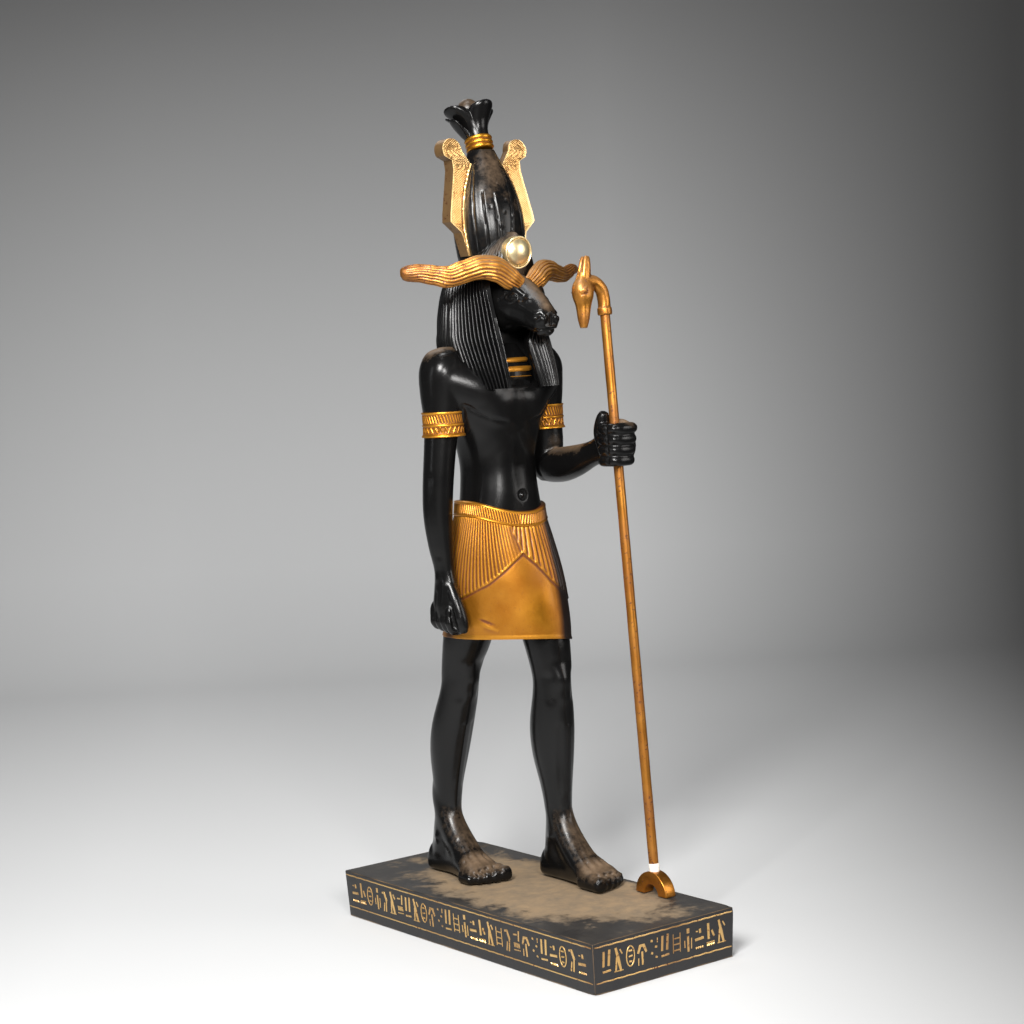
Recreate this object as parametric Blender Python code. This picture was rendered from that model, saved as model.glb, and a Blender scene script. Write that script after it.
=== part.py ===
"""Khnum figurine: a ram-headed god cast in one piece, on an oblong plinth, with a long sceptre.

Metres, +Z up. The origin is the middle of the plinth's underside. The figure faces -Y, and its
right hand is at -X.
"""
import math

import bmesh
import bpy
import numpy as np
from mathutils import Matrix, Vector

# Plinth: the underside is a little smaller than the top, as a mould's draft leaves it.
PLINTH_WIDTH = 0.090
PLINTH_LENGTH = 0.215
PLINTH_HEIGHT = 0.0253
PLINTH_DRAFT = 0.0011
PLINTH_TOP_EDGE = 0.0006
PLINTH_FOOT_EDGE = 0.0012

# Figure: from its soles to the top of the crown's ball. Its axis stands beside the plinth's middle.
FIGURE_HEIGHT = 0.4102
FIGURE_X = 0.008
FIGURE_Y = 0.019

# Sceptre: a straight rod that leans back to the left fist from a forked foot.
ROD_DIAMETER = 0.005
ROD_LENGTH = 0.2900
ROD_LEAN = math.radians(3.42)
ROD_SOCKET_DEPTH = 0.004
COLLAR_DIAMETER = 0.0074
FORK_OUTER_DIAMETER = 0.0235
FORK_INNER_DIAMETER = 0.0105
FORK_THICKNESS = 0.0066
SCEPTRE_HEAD_HEIGHT = 0.0375
SCEPTRE_HEAD_UNITS = 37.5

# Touching pieces stand this far apart, and the rod passes its hole with this much all round.
FIT_GAP = 0.0003
# Corners nearer than this, left where bodies cross, become one.
SLIVER = 0.000005

# Shapes of the figure are given in shares of its height: 410.2 units from soles to ball.
UNITS_HIGH = 410.2
UNIT = FIGURE_HEIGHT / UNITS_HIGH

# Sides of the figure's rounded bodies.
TORSO_SIDES, LIMB_SIDES, FOOT_SIDES, TOE_SIDES, FINGER_SIDES = 16, 10, 10, 6, 8
BAND_SIDES, BELT_SIDES, CROWN_SIDES, HORN_SIDES, PETAL_SIDES = 12, 24, 24, 12, 16
# Sides of the sceptre's head, and of the rod and what is turned to its size.
SCEPTRE_SIDES, ROD_SIDES = 8, 16

# The left fist's middle, in units, and the colours of the casting.
FIST_X, FIST_Y, FIST_Z = 27.0, -66.2, 231.0
BLACK = (0.012, 0.012, 0.014, 1.0)
DUSTY_BLACK = (0.045, 0.040, 0.036, 1.0)
GOLD = (0.52, 0.27, 0.06, 1.0)
RED_GOLD = (0.46, 0.19, 0.05, 1.0)


def at(x, y, z):
    """A point of the figure, from units to metres."""
    return Vector((FIGURE_X + UNIT * x, FIGURE_Y + UNIT * y, PLINTH_HEIGHT + FIT_GAP + UNIT * z))


def clear_scene():
    for thing in list(bpy.data.objects):
        bpy.data.objects.remove(thing, do_unlink=True)


def paint(name, colour, roughness, metallic):
    material = bpy.data.materials.new(name)
    material.use_nodes = True
    shader = material.node_tree.nodes["Principled BSDF"]
    shader.inputs["Base Color"].default_value = colour
    shader.inputs["Roughness"].default_value = roughness
    shader.inputs["Metallic"].default_value = metallic
    material.diffuse_color = colour
    return material


def smooth_rows(rows, steps):
    """Rows of numbers on a smooth curve through the given rows, with steps between each two."""
    rows = [np.array(row, float) for row in rows]
    ends = [2 * rows[0] - rows[1]] + rows + [2 * rows[-1] - rows[-2]]
    found = []
    for index in range(1, len(rows)):
        a, b, c, d = ends[index - 1:index + 3]
        for step in range(steps):
            t = step / steps
            found.append(b + 0.5 * t * (c - a + t * (2 * a - 5 * b + 4 * c - d + t * (3 * (b - c) + d - a))))
    found.append(rows[-1])
    return found


def squared(value, power):
    """Bends a sine or cosine towards the corners of a box."""
    return math.copysign(abs(value) ** (2.0 / power), value)


def level_ring(x, y, z, half_width, half_depth, sides, power=2.0, shear=0.0, ripple=None):
    """A level oval round (x, y), its left side drawn forward by the shear."""
    ring = []
    for index in range(sides):
        turn = 2 * math.pi * index / sides
        swell = 1.0 + (ripple(turn, z) if ripple else 0.0)
        across = half_width * squared(math.cos(turn), power) * swell
        along = half_depth * squared(math.sin(turn), power) * swell
        ring.append(at(x + across, y + along - shear * across, z))
    return ring


def path_rings(rows, sides, side_hint, power=2.0, ripple=None):
    """Ovals square to a path. A row is x, y, z, half across the side hint's way, half the other way."""
    rings = []
    for index, row in enumerate(rows):
        before = rows[max(index - 1, 0)]
        after = rows[min(index + 1, len(rows) - 1)]
        ahead = Vector(after[:3]) - Vector(before[:3])
        ahead.normalize()
        side = Vector(side_hint) - ahead * ahead.dot(Vector(side_hint))
        side.normalize()
        other = ahead.cross(side)
        ring = []
        for step in range(sides):
            turn = 2 * math.pi * step / sides
            swell = 1.0 + (ripple(turn, index / (len(rows) - 1)) if ripple else 0.0)
            point = Vector(row[:3]) + side * (row[3] * squared(math.cos(turn), power) * swell)
            point += other * (row[4] * squared(math.sin(turn), power) * swell)
            ring.append(at(*point))
        rings.append(ring)
    return rings


def mesh_object(name, mesh_edit):
    bmesh.ops.recalc_face_normals(mesh_edit, faces=mesh_edit.faces)
    mesh = bpy.data.meshes.new(name)
    mesh_edit.to_mesh(mesh)
    mesh_edit.free()
    thing = bpy.data.objects.new(name, mesh)
    bpy.context.scene.collection.objects.link(thing)
    return thing


def loft(name, rings):
    """A closed body through rings of equally many points, each end closed round its middle."""
    edit = bmesh.new()
    loops = [[edit.verts.new(point) for point in ring] for ring in rings]
    count = len(loops[0])
    for low, high in zip(loops, loops[1:]):
        for i in range(count):
            j = (i + 1) % count
            edit.faces.new((low[i], low[j], high[j], high[i]))
    for loop in (loops[0], loops[-1]):
        middle = edit.verts.new(sum((corner.co for corner in loop), Vector()) / count)
        for i in range(count):
            edit.faces.new((loop[i], loop[(i + 1) % count], middle))
    return mesh_object(name, edit)


def slab(name, outline, front, back):
    """An outline of (x, z) points given a thickness from front to back: two rows of y values."""
    rings = [[at(x, y, z) for (x, z), y in zip(outline, depths)] for depths in (front, back)]
    edit = bmesh.new()
    loops = [[edit.verts.new(point) for point in ring] for ring in rings]
    count = len(outline)
    for i in range(count):
        j = (i + 1) % count
        edit.faces.new((loops[0][i], loops[0][j], loops[1][j], loops[1][i]))
    edit.faces.new(loops[0])
    edit.faces.new(loops[1])
    return mesh_object(name, edit)


def cut(base, cutter):
    """Cuts the cutter from the base, whose own bodies may overlap: they become one."""
    step = base.modifiers.new(cutter.name, "BOOLEAN")
    step.operation = "DIFFERENCE"
    step.solver = "EXACT"
    step.use_self = True
    step.object = cutter
    cutter.hide_render = True
    cutter.display_type = "WIRE"
    return base


def gather(name, bodies):
    """Puts overlapping bodies, as they look with their modifiers, into one object."""
    bpy.context.view_layer.update()
    shown = bpy.context.evaluated_depsgraph_get()
    edit = bmesh.new()
    for body in bodies:
        edit.from_mesh(body.evaluated_get(shown).to_mesh())
    for body in bodies:
        bpy.data.objects.remove(body, do_unlink=True)
    mesh = bpy.data.meshes.new(name)
    edit.to_mesh(mesh)
    edit.free()
    thing = bpy.data.objects.new(name, mesh)
    bpy.context.scene.collection.objects.link(thing)
    return thing


# Figure: body

TORSO = (
    # z, middle's y, half width, half depth
    (186, -1.0, 23.0, 20.5),
    (197, -1.0, 22.0, 20.0),
    (206, -1.3, 20.6, 20.6),
    (220, 0.0, 20.4, 18.6),
    (234, 0.0, 24.0, 20.5),
    (246, -0.8, 29.0, 23.2),
    (258, -0.6, 31.5, 22.6),
    (269, 0.6, 31.0, 18.0),
    (277, 1.6, 23.5, 13.6),
    (284, 0.5, 13.5, 11.0),
    (296, -4.0, 10.5, 11.5),
    (308, -8.0, 10.0, 11.0),
)

# An arm from shoulder to wrist: x, y, z, half width, half depth. The left upper arm mirrors it.
UPPER_ARM = (
    (-27.0, 0.6, 282.5, 4.0, 4.5),
    (-29.5, 0.4, 279.5, 9.0, 9.5),
    (-31.0, 0.0, 271.0, 12.0, 12.6),
    (-32.2, 0.0, 258.0, 11.0, 12.0),
    (-32.5, 0.0, 244.0, 9.4, 10.0),
    (-33.2, 0.2, 231.0, 9.4, 9.8),
)
RIGHT_FOREARM = (
    (-34.8, 1.4, 212.0, 8.8, 9.2),
    (-35.4, 2.6, 196.0, 8.0, 8.4),
    (-35.0, 3.4, 180.0, 6.2, 6.9),
    (-34.0, 3.4, 168.0, 4.8, 6.0),
    (-33.2, 2.8, 158.0, 5.8, 7.6),
    (-32.6, 2.2, 150.0, 6.6, 8.4),
    (-32.0, 1.6, 140.0, 5.4, 7.6),
    (-31.8, 1.6, 136.0, 3.0, 5.0),
)
LEFT_ELBOW = (
    (33.0, -0.2, 222.0, 8.8, 9.3),
    (33.2, -1.6, 213.5, 8.2, 9.0),
    (33.2, -2.4, 209.0, 4.6, 5.4),
)
LEFT_FOREARM = (
    # x, y, z, half width, half height
    (33.2, 4.2, 217.0, 4.5, 4.5),
    (33.2, 0.0, 217.0, 7.8, 8.4),
    (32.6, -14.0, 217.6, 8.5, 9.2),
    (31.4, -28.0, 220.0, 7.4, 8.2),
    (30.4, -42.0, 223.6, 5.7, 6.6),
    (30.0, -52.0, 226.5, 5.6, 7.4),
    (30.2, -59.5, 229.0, 6.6, 10.4),
    (30.6, -67.5, 230.5, 6.6, 11.6),
    (30.2, -73.0, 231.0, 4.6, 9.6),
)

# A leg from hip to ankle: x, y, z, half width, half depth.
RIGHT_LEG = (
    (-11.5, 6.0, 172.0, 12.5, 13.5),
    (-13.0, 13.0, 142.0, 13.0, 14.0),
    (-13.0, 16.8, 128.0, 13.0, 13.2),
    (-13.8, 22.6, 112.0, 10.6, 10.9),
    (-13.8, 24.8, 102.0, 10.2, 10.8),
    (-14.4, 32.4, 82.0, 10.6, 12.7),
    (-14.6, 36.8, 66.0, 9.8, 11.9),
    (-14.8, 39.6, 48.0, 7.3, 9.5),
    (-15.0, 40.8, 34.0, 6.6, 8.8),
    (-15.4, 41.4, 22.0, 7.2, 10.0),
    (-15.6, 42.0, 10.0, 7.6, 10.2),
)
LEFT_LEG = (
    (11.5, -4.0, 172.0, 12.5, 13.5),
    (13.0, -13.0, 142.0, 13.0, 14.0),
    (13.4, -17.0, 128.0, 12.2, 12.8),
    (14.0, -19.4, 112.0, 10.6, 11.0),
    (14.0, -19.6, 102.0, 10.0, 11.0),
    (14.8, -16.4, 82.0, 10.6, 13.6),
    (15.2, -15.6, 66.0, 9.8, 12.6),
    (15.8, -16.2, 48.0, 7.2, 9.8),
    (16.0, -16.6, 34.0, 6.4, 8.6),
    (16.0, -16.4, 22.0, 6.8, 9.6),
    (16.0, -16.0, 10.0, 7.2, 9.8),
)

# A foot from heel to ball: distance before the ankle, shift to the outside, half width, height.
FOOT = (
    (-12.4, 0.4, 4.8, 9.0),
    (-9.6, 0.4, 7.2, 16.0),
    (-2.0, 0.2, 7.8, 26.0),
    (6.5, 0.0, 8.0, 31.0),
    (13.0, 0.2, 8.8, 26.0),
    (21.0, 0.8, 10.2, 18.5),
    (29.0, 1.2, 11.9, 12.0),
    (35.0, 1.2, 11.6, 8.6),
)
TOES = (
    # shift to the outside, tip before the ankle, half width, height
    (-7.2, 43.5, 4.1, 8.0),
    (-1.6, 42.6, 2.8, 7.2),
    (3.1, 41.2, 2.6, 6.8),
    (7.4, 39.2, 2.5, 6.4),
    (11.2, 36.4, 2.4, 6.0),
)
# The toes' pads stand clear of the plinth, each a little more than the last, and their roots are
# staggered inside the foot.
TOE_CLEARANCE = 0.35
TOE_CLEARANCE_STEP = 0.08
TOE_ROOT, TOE_ROOT_STEP = 28.0, 0.9


def foot_ring(x, y, half_width, height, sides):
    """An upright section, flat below and narrower above."""
    ring = []
    for index in range(sides):
        turn = 2 * math.pi * index / sides
        rise = 0.5 + 0.5 * squared(math.sin(turn), 3.2)
        across = half_width * squared(math.cos(turn), 3.0) * (1.0 - 0.45 * rise ** 2 * min(height / 20, 1))
        ring.append(at(x + across, y, height * rise))
    return ring


def make_foot(name, ankle, outside):
    """One foot with its five toes; outside is -1 for the right foot and 1 for the left."""
    x, y = ankle
    rings = [foot_ring(x + outside * shift, y - before, half, high, FOOT_SIDES)
             for before, shift, half, high in FOOT]
    foot = loft(name + "_foot", rings)
    toes = []
    for number, (shift, tip, half, high) in enumerate(TOES):
        root = TOE_ROOT - TOE_ROOT_STEP * number
        rows = ((root, 0.8), (tip - 2.4, 1.0), (tip, 0.6))
        rings = [foot_ring(x + outside * shift, y - reach, half * share, high * share, TOE_SIDES)
                 for reach, share in rows]
        for ring in rings:
            for corner in ring:
                corner.z += UNIT * (TOE_CLEARANCE + TOE_CLEARANCE_STEP * number)
        toes.append(loft(name + "_toe_%d" % (number + 1), rings))
    return [foot] + toes


def finger(name, middle, half_across, half_along, half_thick, axis):
    """One curled finger: a thick rounded disc, flat ways square to its axis."""
    first = Vector((1, 0, 0)) if abs(axis[0]) < 0.5 else Vector((0, 0, 1))
    second = Vector(axis).cross(first)
    rings = []
    for shift, share in ((-1.0, 0.84), (-0.5, 0.98), (0.5, 0.98), (1.0, 0.84)):
        centre = Vector(middle) + Vector(axis) * (half_thick * shift)
        ring = []
        for index in range(FINGER_SIDES):
            turn = 2 * math.pi * index / FINGER_SIDES
            point = centre + first * (half_across * share * squared(math.cos(turn), 2.6))
            point += second * (half_along * share * squared(math.sin(turn), 2.6))
            ring.append(at(*point))
        rings.append(ring)
    return loft(name, rings)


def make_left_fist():
    """Four fingers stacked round the rod, and the thumb pressed up along it."""
    pieces = []
    for number in range(4):
        z = FIST_Z + 6.0 - 5.4 * number
        y = FIST_Y - 1.2 + 0.45 * number
        pieces.append(finger("left_finger_%d" % (number + 1), (FIST_X - 0.6, y, z), 9.2 - 0.15 * number,
                             9.6 - 0.4 * number, 3.0, (0, 0, 1)))
    thumb = ((FIST_X - 1.0, FIST_Y + 8.0, FIST_Z - 4.0, 4.0, 4.2),
             (FIST_X - 3.0, FIST_Y + 7.4, FIST_Z + 4.0, 4.4, 4.2),
             (FIST_X - 4.2, FIST_Y + 4.6, FIST_Z + 11.0, 3.6, 3.4),
             (FIST_X - 4.4, FIST_Y + 3.0, FIST_Z + 14.6, 1.8, 1.8))
    pieces.append(loft("left_thumb", path_rings(smooth_rows(thumb, 2), 8, (1, 0, 0))))
    return pieces


def make_right_fist():
    """Four fingers curled side by side below the knuckles, and the thumb before them."""
    pieces = []
    for number in range(4):
        y = -4.6 + 4.5 * number
        pieces.append(finger("right_finger_%d" % (number + 1), (-29.4, y, 143.2 + 0.5 * number),
                             7.8 - 0.15 * number, 8.6, 2.5, (0, 1, 0)))
    thumb = ((-31.0, -3.0, 156.0, 3.2, 3.2), (-28.6, -7.6, 149.0, 3.4, 3.2),
             (-26.4, -8.6, 142.0, 3.0, 2.8), (-25.6, -8.0, 137.6, 1.6, 1.4))
    pieces.append(loft("right_thumb", path_rings(smooth_rows(thumb, 2), 8, (1, 0, 0))))
    return pieces


def make_leg(side, name, rows):
    """A leg with its foot; side is -1 for the right one and 1 for the left."""
    leg = loft(name + "_leg", [level_ring(*row, LIMB_SIDES) for row in rows])
    return [leg] + make_foot(name, rows[-1][:2], side)


def make_arms():
    left_arm = [(-x, y, z, a, b) for x, y, z, a, b in UPPER_ARM] + list(LEFT_ELBOW)
    right = loft("right_arm", [level_ring(*row, LIMB_SIDES) for row in UPPER_ARM + RIGHT_FOREARM])
    left = loft("left_arm", [level_ring(*row, LIMB_SIDES) for row in left_arm])
    forearm = loft("left_forearm", path_rings(LEFT_FOREARM, LIMB_SIDES, (1, 0, 0)))
    return [right, left, forearm] + make_right_fist() + make_left_fist()


# Figure: dress

ARMBAND_LOW, ARMBAND_HIGH = 237.2, 249.6
BELT_LOW, BELT_HIGH = 195.5, 202.2
COLLAR_ROWS = ((273.6, 12.4), (269.2, 15.6))
KILT = (
    # z at the right hip, half width, half depth, shear, share of the belt's dip
    (131.0, 27.4, 27.8, 0.42, 0.0),
    (141.0, 28.2, 28.2, 0.36, 0.1),
    (153.0, 28.6, 27.8, 0.28, 0.3),
    (166.0, 28.2, 26.8, 0.20, 0.5),
    (181.0, 26.8, 24.6, 0.09, 0.8),
    (197.0, 23.8, 21.6, 0.00, 1.0),
)
# The belt dips in front and to the left hip, and the hem hangs lower over the left leg.
BELT_DIP, BELT_TILT, BELT_DIP_POWER = 5.2, 3.2, 2.2
HEM_DROP, HEM_DROP_POWER = 5.0, 2.5
KILT_SIDES = 50
PLEAT_DEPTH = 0.022
FOLD_HIGH, FOLD_CROSS, FOLD_END = 188.0, 173.0, 148.0


def kilt_fold_height(turn):
    """Height of the folded edge round the kilt: highest just left of the front's middle."""
    away = abs((math.degrees(turn) - 276.0 + 180.0) % 360.0 - 180.0)
    return max(FOLD_CROSS - 0.36 * away, FOLD_END)


def pleats(turn, z):
    """Raised and sunk by turns above the folded edge, smooth on the apron below."""
    if z <= kilt_fold_height(turn):
        return 0.0
    column = round(turn / (2 * math.pi) * KILT_SIDES)
    return PLEAT_DEPTH * (0.5 if column % 2 else -0.5)


def dress_ring(z, half_width, half_depth, sides, shear, dip, ripple=None):
    """A ring of the kilt or belt, dipped in front by its share and dropped at the left by the rest."""
    ring = level_ring(0, -1.0, z, half_width, half_depth, sides, 2.15, shear, ripple)
    for index, corner in enumerate(ring):
        turn = 2 * math.pi * index / sides
        leftward = 0.5 + 0.5 * math.cos(turn)
        fall = dip * (BELT_DIP * max(-math.sin(turn), 0.0) ** BELT_DIP_POWER + BELT_TILT * leftward)
        fall += (1 - dip) * HEM_DROP * leftward ** HEM_DROP_POWER
        corner.z -= UNIT * fall
    return ring


def turned_band(name, x, y, rows, sides, power=2.0):
    """A level moulding round (x, y): rows of z, half width, half depth."""
    return loft(name, [level_ring(x, y, z, a, b, sides, power) for z, a, b in rows])


def make_dress():
    kilt = loft("kilt", [dress_ring(z, a, b, KILT_SIDES, shear, dip, pleats) for z, a, b, shear, dip in KILT])
    belt = loft("belt", [dress_ring(z, a, b, BELT_SIDES, 0.0, 1.0) for z, a, b in (
        (BELT_LOW - 2, 20.0, 18.0), (BELT_LOW, 24.4, 22.2), (BELT_HIGH - 1.2, 24.2, 22.2),
        (BELT_HIGH, 23.2, 21.2), (BELT_HIGH - 0.6, 18.0, 16.0))])
    pieces = [kilt, belt]
    for number, (z, half) in enumerate(COLLAR_ROWS):
        rows = ((z - 1.4, half - 4, 12.0), (z - 1.4, half, 17.6 + number), (z + 1.4, half - 1, 17.0 + number),
                (z + 1.4, half - 5, 11.0))
        pieces.append(turned_band("collar_band_%d" % (number + 1), 0, -6.5 - 0.6 * number, rows, BAND_SIDES))
    return pieces


def make_armbands():
    """A flared lip below, a bead above and the band between, round each upper arm."""
    low, high, bead = ARMBAND_LOW, ARMBAND_HIGH, 1.5
    rows = ((low - 0.4, 6.0), (low - 0.4, 11.2), (low + bead, 11.0), (low + bead + 0.3, 10.3),
            (high - bead - 0.3, 10.2), (high - bead, 10.7), (high, 10.6), (high, 6.0))
    return [turned_band(name, x, 0.0, [(z, r, r + 0.4) for z, r in rows], BAND_SIDES)
            for name, x in (("right_armband", -32.5), ("left_armband", 32.5))]


# Figure: head, wig, horns and crown

HEAD = (
    # A level axis from the back of the skull to the lips: y, z, half width, half height
    (2.0, 306.0, 9.0, 9.0),
    (-10.0, 305.0, 12.5, 14.5),
    (-20.0, 304.0, 12.6, 15.5),
    (-28.0, 303.4, 11.2, 13.4),
    (-34.5, 301.6, 9.6, 11.6),
    (-41.0, 298.4, 7.8, 10.2),
    (-46.6, 295.4, 7.0, 8.6),
    (-50.6, 293.2, 6.2, 6.8),
    (-52.6, 292.6, 4.0, 4.2),
)
WIG = (
    # z, half width, front's y, back's y
    (260.0, 21.2, -31.6, 19.0),
    (270.0, 26.2, -32.8, 22.0),
    (283.0, 27.5, -31.4, 23.5),
    (299.0, 25.6, -27.6, 23.4),
    (311.0, 23.2, -25.6, 21.0),
    (320.0, 19.0, -22.0, 17.0),
    (328.0, 9.0, -16.0, 9.0),
)
WIG_SIDES = 52
STRAND_DEPTH = 0.030
HORN = (
    # x, y, z, half height, half depth; a wave that leaves the brow and sweeps back and out
    (-3.5, -32.5, 311.5, 4.4, 3.6),
    (-8.5, -31.8, 315.0, 5.6, 4.4),
    (-15.0, -29.6, 319.8, 6.3, 5.0),
    (-22.5, -26.0, 321.4, 6.0, 5.0),
    (-30.0, -22.4, 319.6, 5.6, 4.8),
    (-37.0, -18.4, 317.4, 5.4, 4.6),
    (-43.0, -13.8, 318.6, 4.9, 4.3),
    (-48.5, -9.4, 320.0, 4.6, 4.0),
    (-53.2, -6.0, 320.2, 4.3, 3.7),
    (-56.0, -4.3, 320.4, 2.4, 2.2),
)
CROWN = (
    # z, middle's y, radius
    (322.0, -5.2, 16.4),
    (332.0, -5.0, 17.8),
    (342.0, -4.6, 18.5),
    (352.0, -4.2, 17.6),
    (362.0, -3.6, 15.2),
    (371.0, -2.8, 11.8),
    (377.0, -2.2, 9.0),
    (382.5, -1.4, 6.8),
)
RING_SEAT, RING_TALL, RING_COUNT, RING_TILT = 382.2, 2.4, 3, 0.3
FINIAL = (
    # distance up the stem, distance back, radius, petal share
    (388.0, 0.2, 6.0, 0.0),
    (392.0, 1.4, 6.0, 0.05),
    (396.0, 3.4, 8.4, 0.12),
    (399.6, 5.6, 12.0, 0.22),
    (402.0, 7.4, 14.4, 0.30),
    (402.6, 8.2, 13.8, 0.30),
    (400.0, 7.2, 9.0, 0.18),
    (402.4, 7.2, 4.4, 0.00),
)
BALL_RADIUS = 5.7
# A plume's edge from the head up, in x and z; then its round head; then down inside the crown.
PLUME_EDGE = ((16.4, 328.0), (19.6, 340.0), (26.8, 345.6), (26.2, 350.0), (21.4, 372.0), (21.6, 377.0))
PLUME_HEAD_X, PLUME_HEAD_Z, PLUME_HEAD_RADIUS = 20.8, 382.2, 5.9
PLUME_ROOT = ((9.0, 372.0), (10.0, 350.0), (12.0, 328.0))


def strands(turn, z):
    column = round(turn / (2 * math.pi) * WIG_SIDES)
    return STRAND_DEPTH * (0.5 if column % 2 else -0.5)


def make_head():
    rows = smooth_rows(HEAD, 1)
    rings = []
    for y, z, half_width, half_height in rows:
        ring = []
        for index in range(16):
            turn = 2 * math.pi * index / 16
            ring.append(at(half_width * math.cos(turn), y - 0.10 * half_height * math.sin(turn),
                           z + half_height * squared(math.sin(turn), 2.3)))
        rings.append(ring)
    pieces = [loft("ram_head", rings)]
    for name, side in (("right_eye", -1), ("left_eye", 1)):
        rows = ((side * 8.2, -34.6, 306.6, 0.8, 0.6), (side * 9.8, -34.8, 306.4, 3.4, 2.0),
                (side * 10.8, -35.0, 306.2, 3.0, 1.7), (side * 11.4, -35.0, 306.2, 1.4, 0.8))
        pieces.append(loft(name, path_rings(rows, 10, (0, 1, 0.2))))
    return pieces


def make_wig():
    rings = []
    for z, half_width, front, back in WIG:
        middle = (front + back) / 2
        rings.append(level_ring(0, middle, z, half_width, (back - front) / 2, WIG_SIDES, 2.4, 0.0, strands))
    wig = loft("wig", rings)
    face_gap = loft("face_opening", [
        [at(side * half, y, z) for side, y in ((-1, -60), (1, -60), (1, inner), (-1, inner))]
        for z, half, inner in ((240, 9.0, -20), (262, 9.4, -20), (284, 9.8, -12), (296, 13.5, -14),
                               (306, 15.5, -18), (313, 14.0, -21))])
    return cut(wig, face_gap)


def make_horn(name, side):
    def ridges(turn, along):
        return 0.08 * math.cos(6 * turn) * (1 - along)
    rows = [(side * -x, y, z, b, a) for x, y, z, a, b in HORN]
    return loft(name, path_rings(rows, HORN_SIDES, (0, 1, 0), 2.0, ridges))


def make_feather(name, side):
    """A tall plume with a round head, a nipped waist and a notch where it meets the crown."""
    head = [(PLUME_HEAD_X + PLUME_HEAD_RADIUS * math.cos(math.radians(turn)),
             PLUME_HEAD_Z + PLUME_HEAD_RADIUS * math.sin(math.radians(turn))) for turn in range(-30, 211, 30)]
    outline = [(side * x, z) for x, z in PLUME_EDGE + tuple(head) + PLUME_ROOT]
    lean = [(z - PLUME_EDGE[0][1]) * 0.10 for x, z in outline]
    return slab(name, outline, [-10.4 + back for back in lean], [-3.0 + back for back in lean])


def make_crown():
    def flutes(turn, z):
        return -0.022 * abs(math.cos(4 * turn)) ** 6 * (1 if z < 372 else 0)
    pieces = [loft("crown", [level_ring(0, y, z, r, r, CROWN_SIDES, 2.0, 0.0, flutes) for z, y, r in CROWN])]
    rows = []
    for number in range(RING_COUNT):
        low = RING_SEAT + RING_TALL * number
        rows += [(low, 6.4), (low + 0.25 * RING_TALL, 7.3), (low + 0.75 * RING_TALL, 7.3)]
    rows.append((RING_SEAT + RING_TALL * RING_COUNT, 6.0))
    rings = [level_ring(0, (z - RING_SEAT) * 0.18 - 1.2, z, r, r, BAND_SIDES) for z, r in rows]
    for ring in rings:
        middle = sum((corner.y for corner in ring), 0.0) / len(ring)
        for corner in ring:
            corner.z -= RING_TILT * (corner.y - middle)
    pieces.append(loft("crown_rings", rings))

    def flower_ring(z, y, radius, petal):
        ring = []
        for index in range(PETAL_SIDES):
            turn = 2 * math.pi * index / PETAL_SIDES
            reach = radius * (1 - petal + petal * abs(math.cos(2 * turn + 0.5)))
            lift = 0.30 * petal * radius * abs(math.cos(2 * turn + 0.5))
            ring.append(at(reach * math.cos(turn), y + reach * math.sin(turn) * 0.96,
                           z + lift - 0.30 * reach * math.sin(turn) * (petal > 0)))
        return ring
    pieces.append(loft("flower", [flower_ring(*row) for row in FINIAL]))
    ball = [(8.0, UNITS_HIGH - BALL_RADIUS * (1 + math.cos(math.pi * k / 6)), BALL_RADIUS * math.sin(math.pi * k / 6))
            for k in range(1, 6)]
    pieces.append(loft("ball", [level_ring(0, y - 0.4, z, r, r, 10) for y, z, r in ball]))
    return pieces


def make_headdress():
    pieces = []
    cap = ((318.0, -10.0, 19.5, 17.5), (326.0, -11.5, 17.5, 15.5), (332.0, -14.0, 12.5, 12.5),
           (336.0, -17.5, 7.5, 9.0), (338.6, -20.5, 3.0, 5.0))
    pieces.append(loft("hair_cap", [level_ring(0, y, z, a, b, 20) for z, y, a, b in cap]))
    rim = ((-16.0, 0.5), (-26.6, 0.97), (-28.4, 1.0), (-28.6, 0.90), (-28.0, 0.84), (-29.6, 0.5), (-30.2, 0.12))
    rings = []
    for y, share in rim:
        rings.append([at(8.2 * share * math.cos(2 * math.pi * k / 20), y + 0.12 * 8.2 * share
                         * math.sin(2 * math.pi * k / 20), 328.4 + 8.4 * share * math.sin(2 * math.pi * k / 20))
                      for k in range(20)])
    pieces.append(loft("sun_disc", rings))
    pieces += [make_horn("right_horn", -1), make_horn("left_horn", 1)]
    pieces += [make_feather("right_feather", -1), make_feather("left_feather", 1)]
    return pieces


def make_figure(rod_hole):
    torso = loft("torso", [level_ring(0, y, z, a, b, TORSO_SIDES, 2.3) for z, y, a, b in TORSO])
    bodies = [torso] + make_leg(-1, "right", RIGHT_LEG) + make_leg(1, "left", LEFT_LEG) + make_arms()
    bodies += make_dress() + make_armbands() + make_head() + [make_wig()] + make_headdress() + make_crown()
    figure = cut(gather("figure", bodies), rod_hole)
    slivers = figure.modifiers.new("merge_slivers", "WELD")
    slivers.merge_threshold = SLIVER
    figure.data.materials.append(paint("figure_black", BLACK, 0.32, 0.0))
    return figure


# Plinth and sceptre

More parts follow.
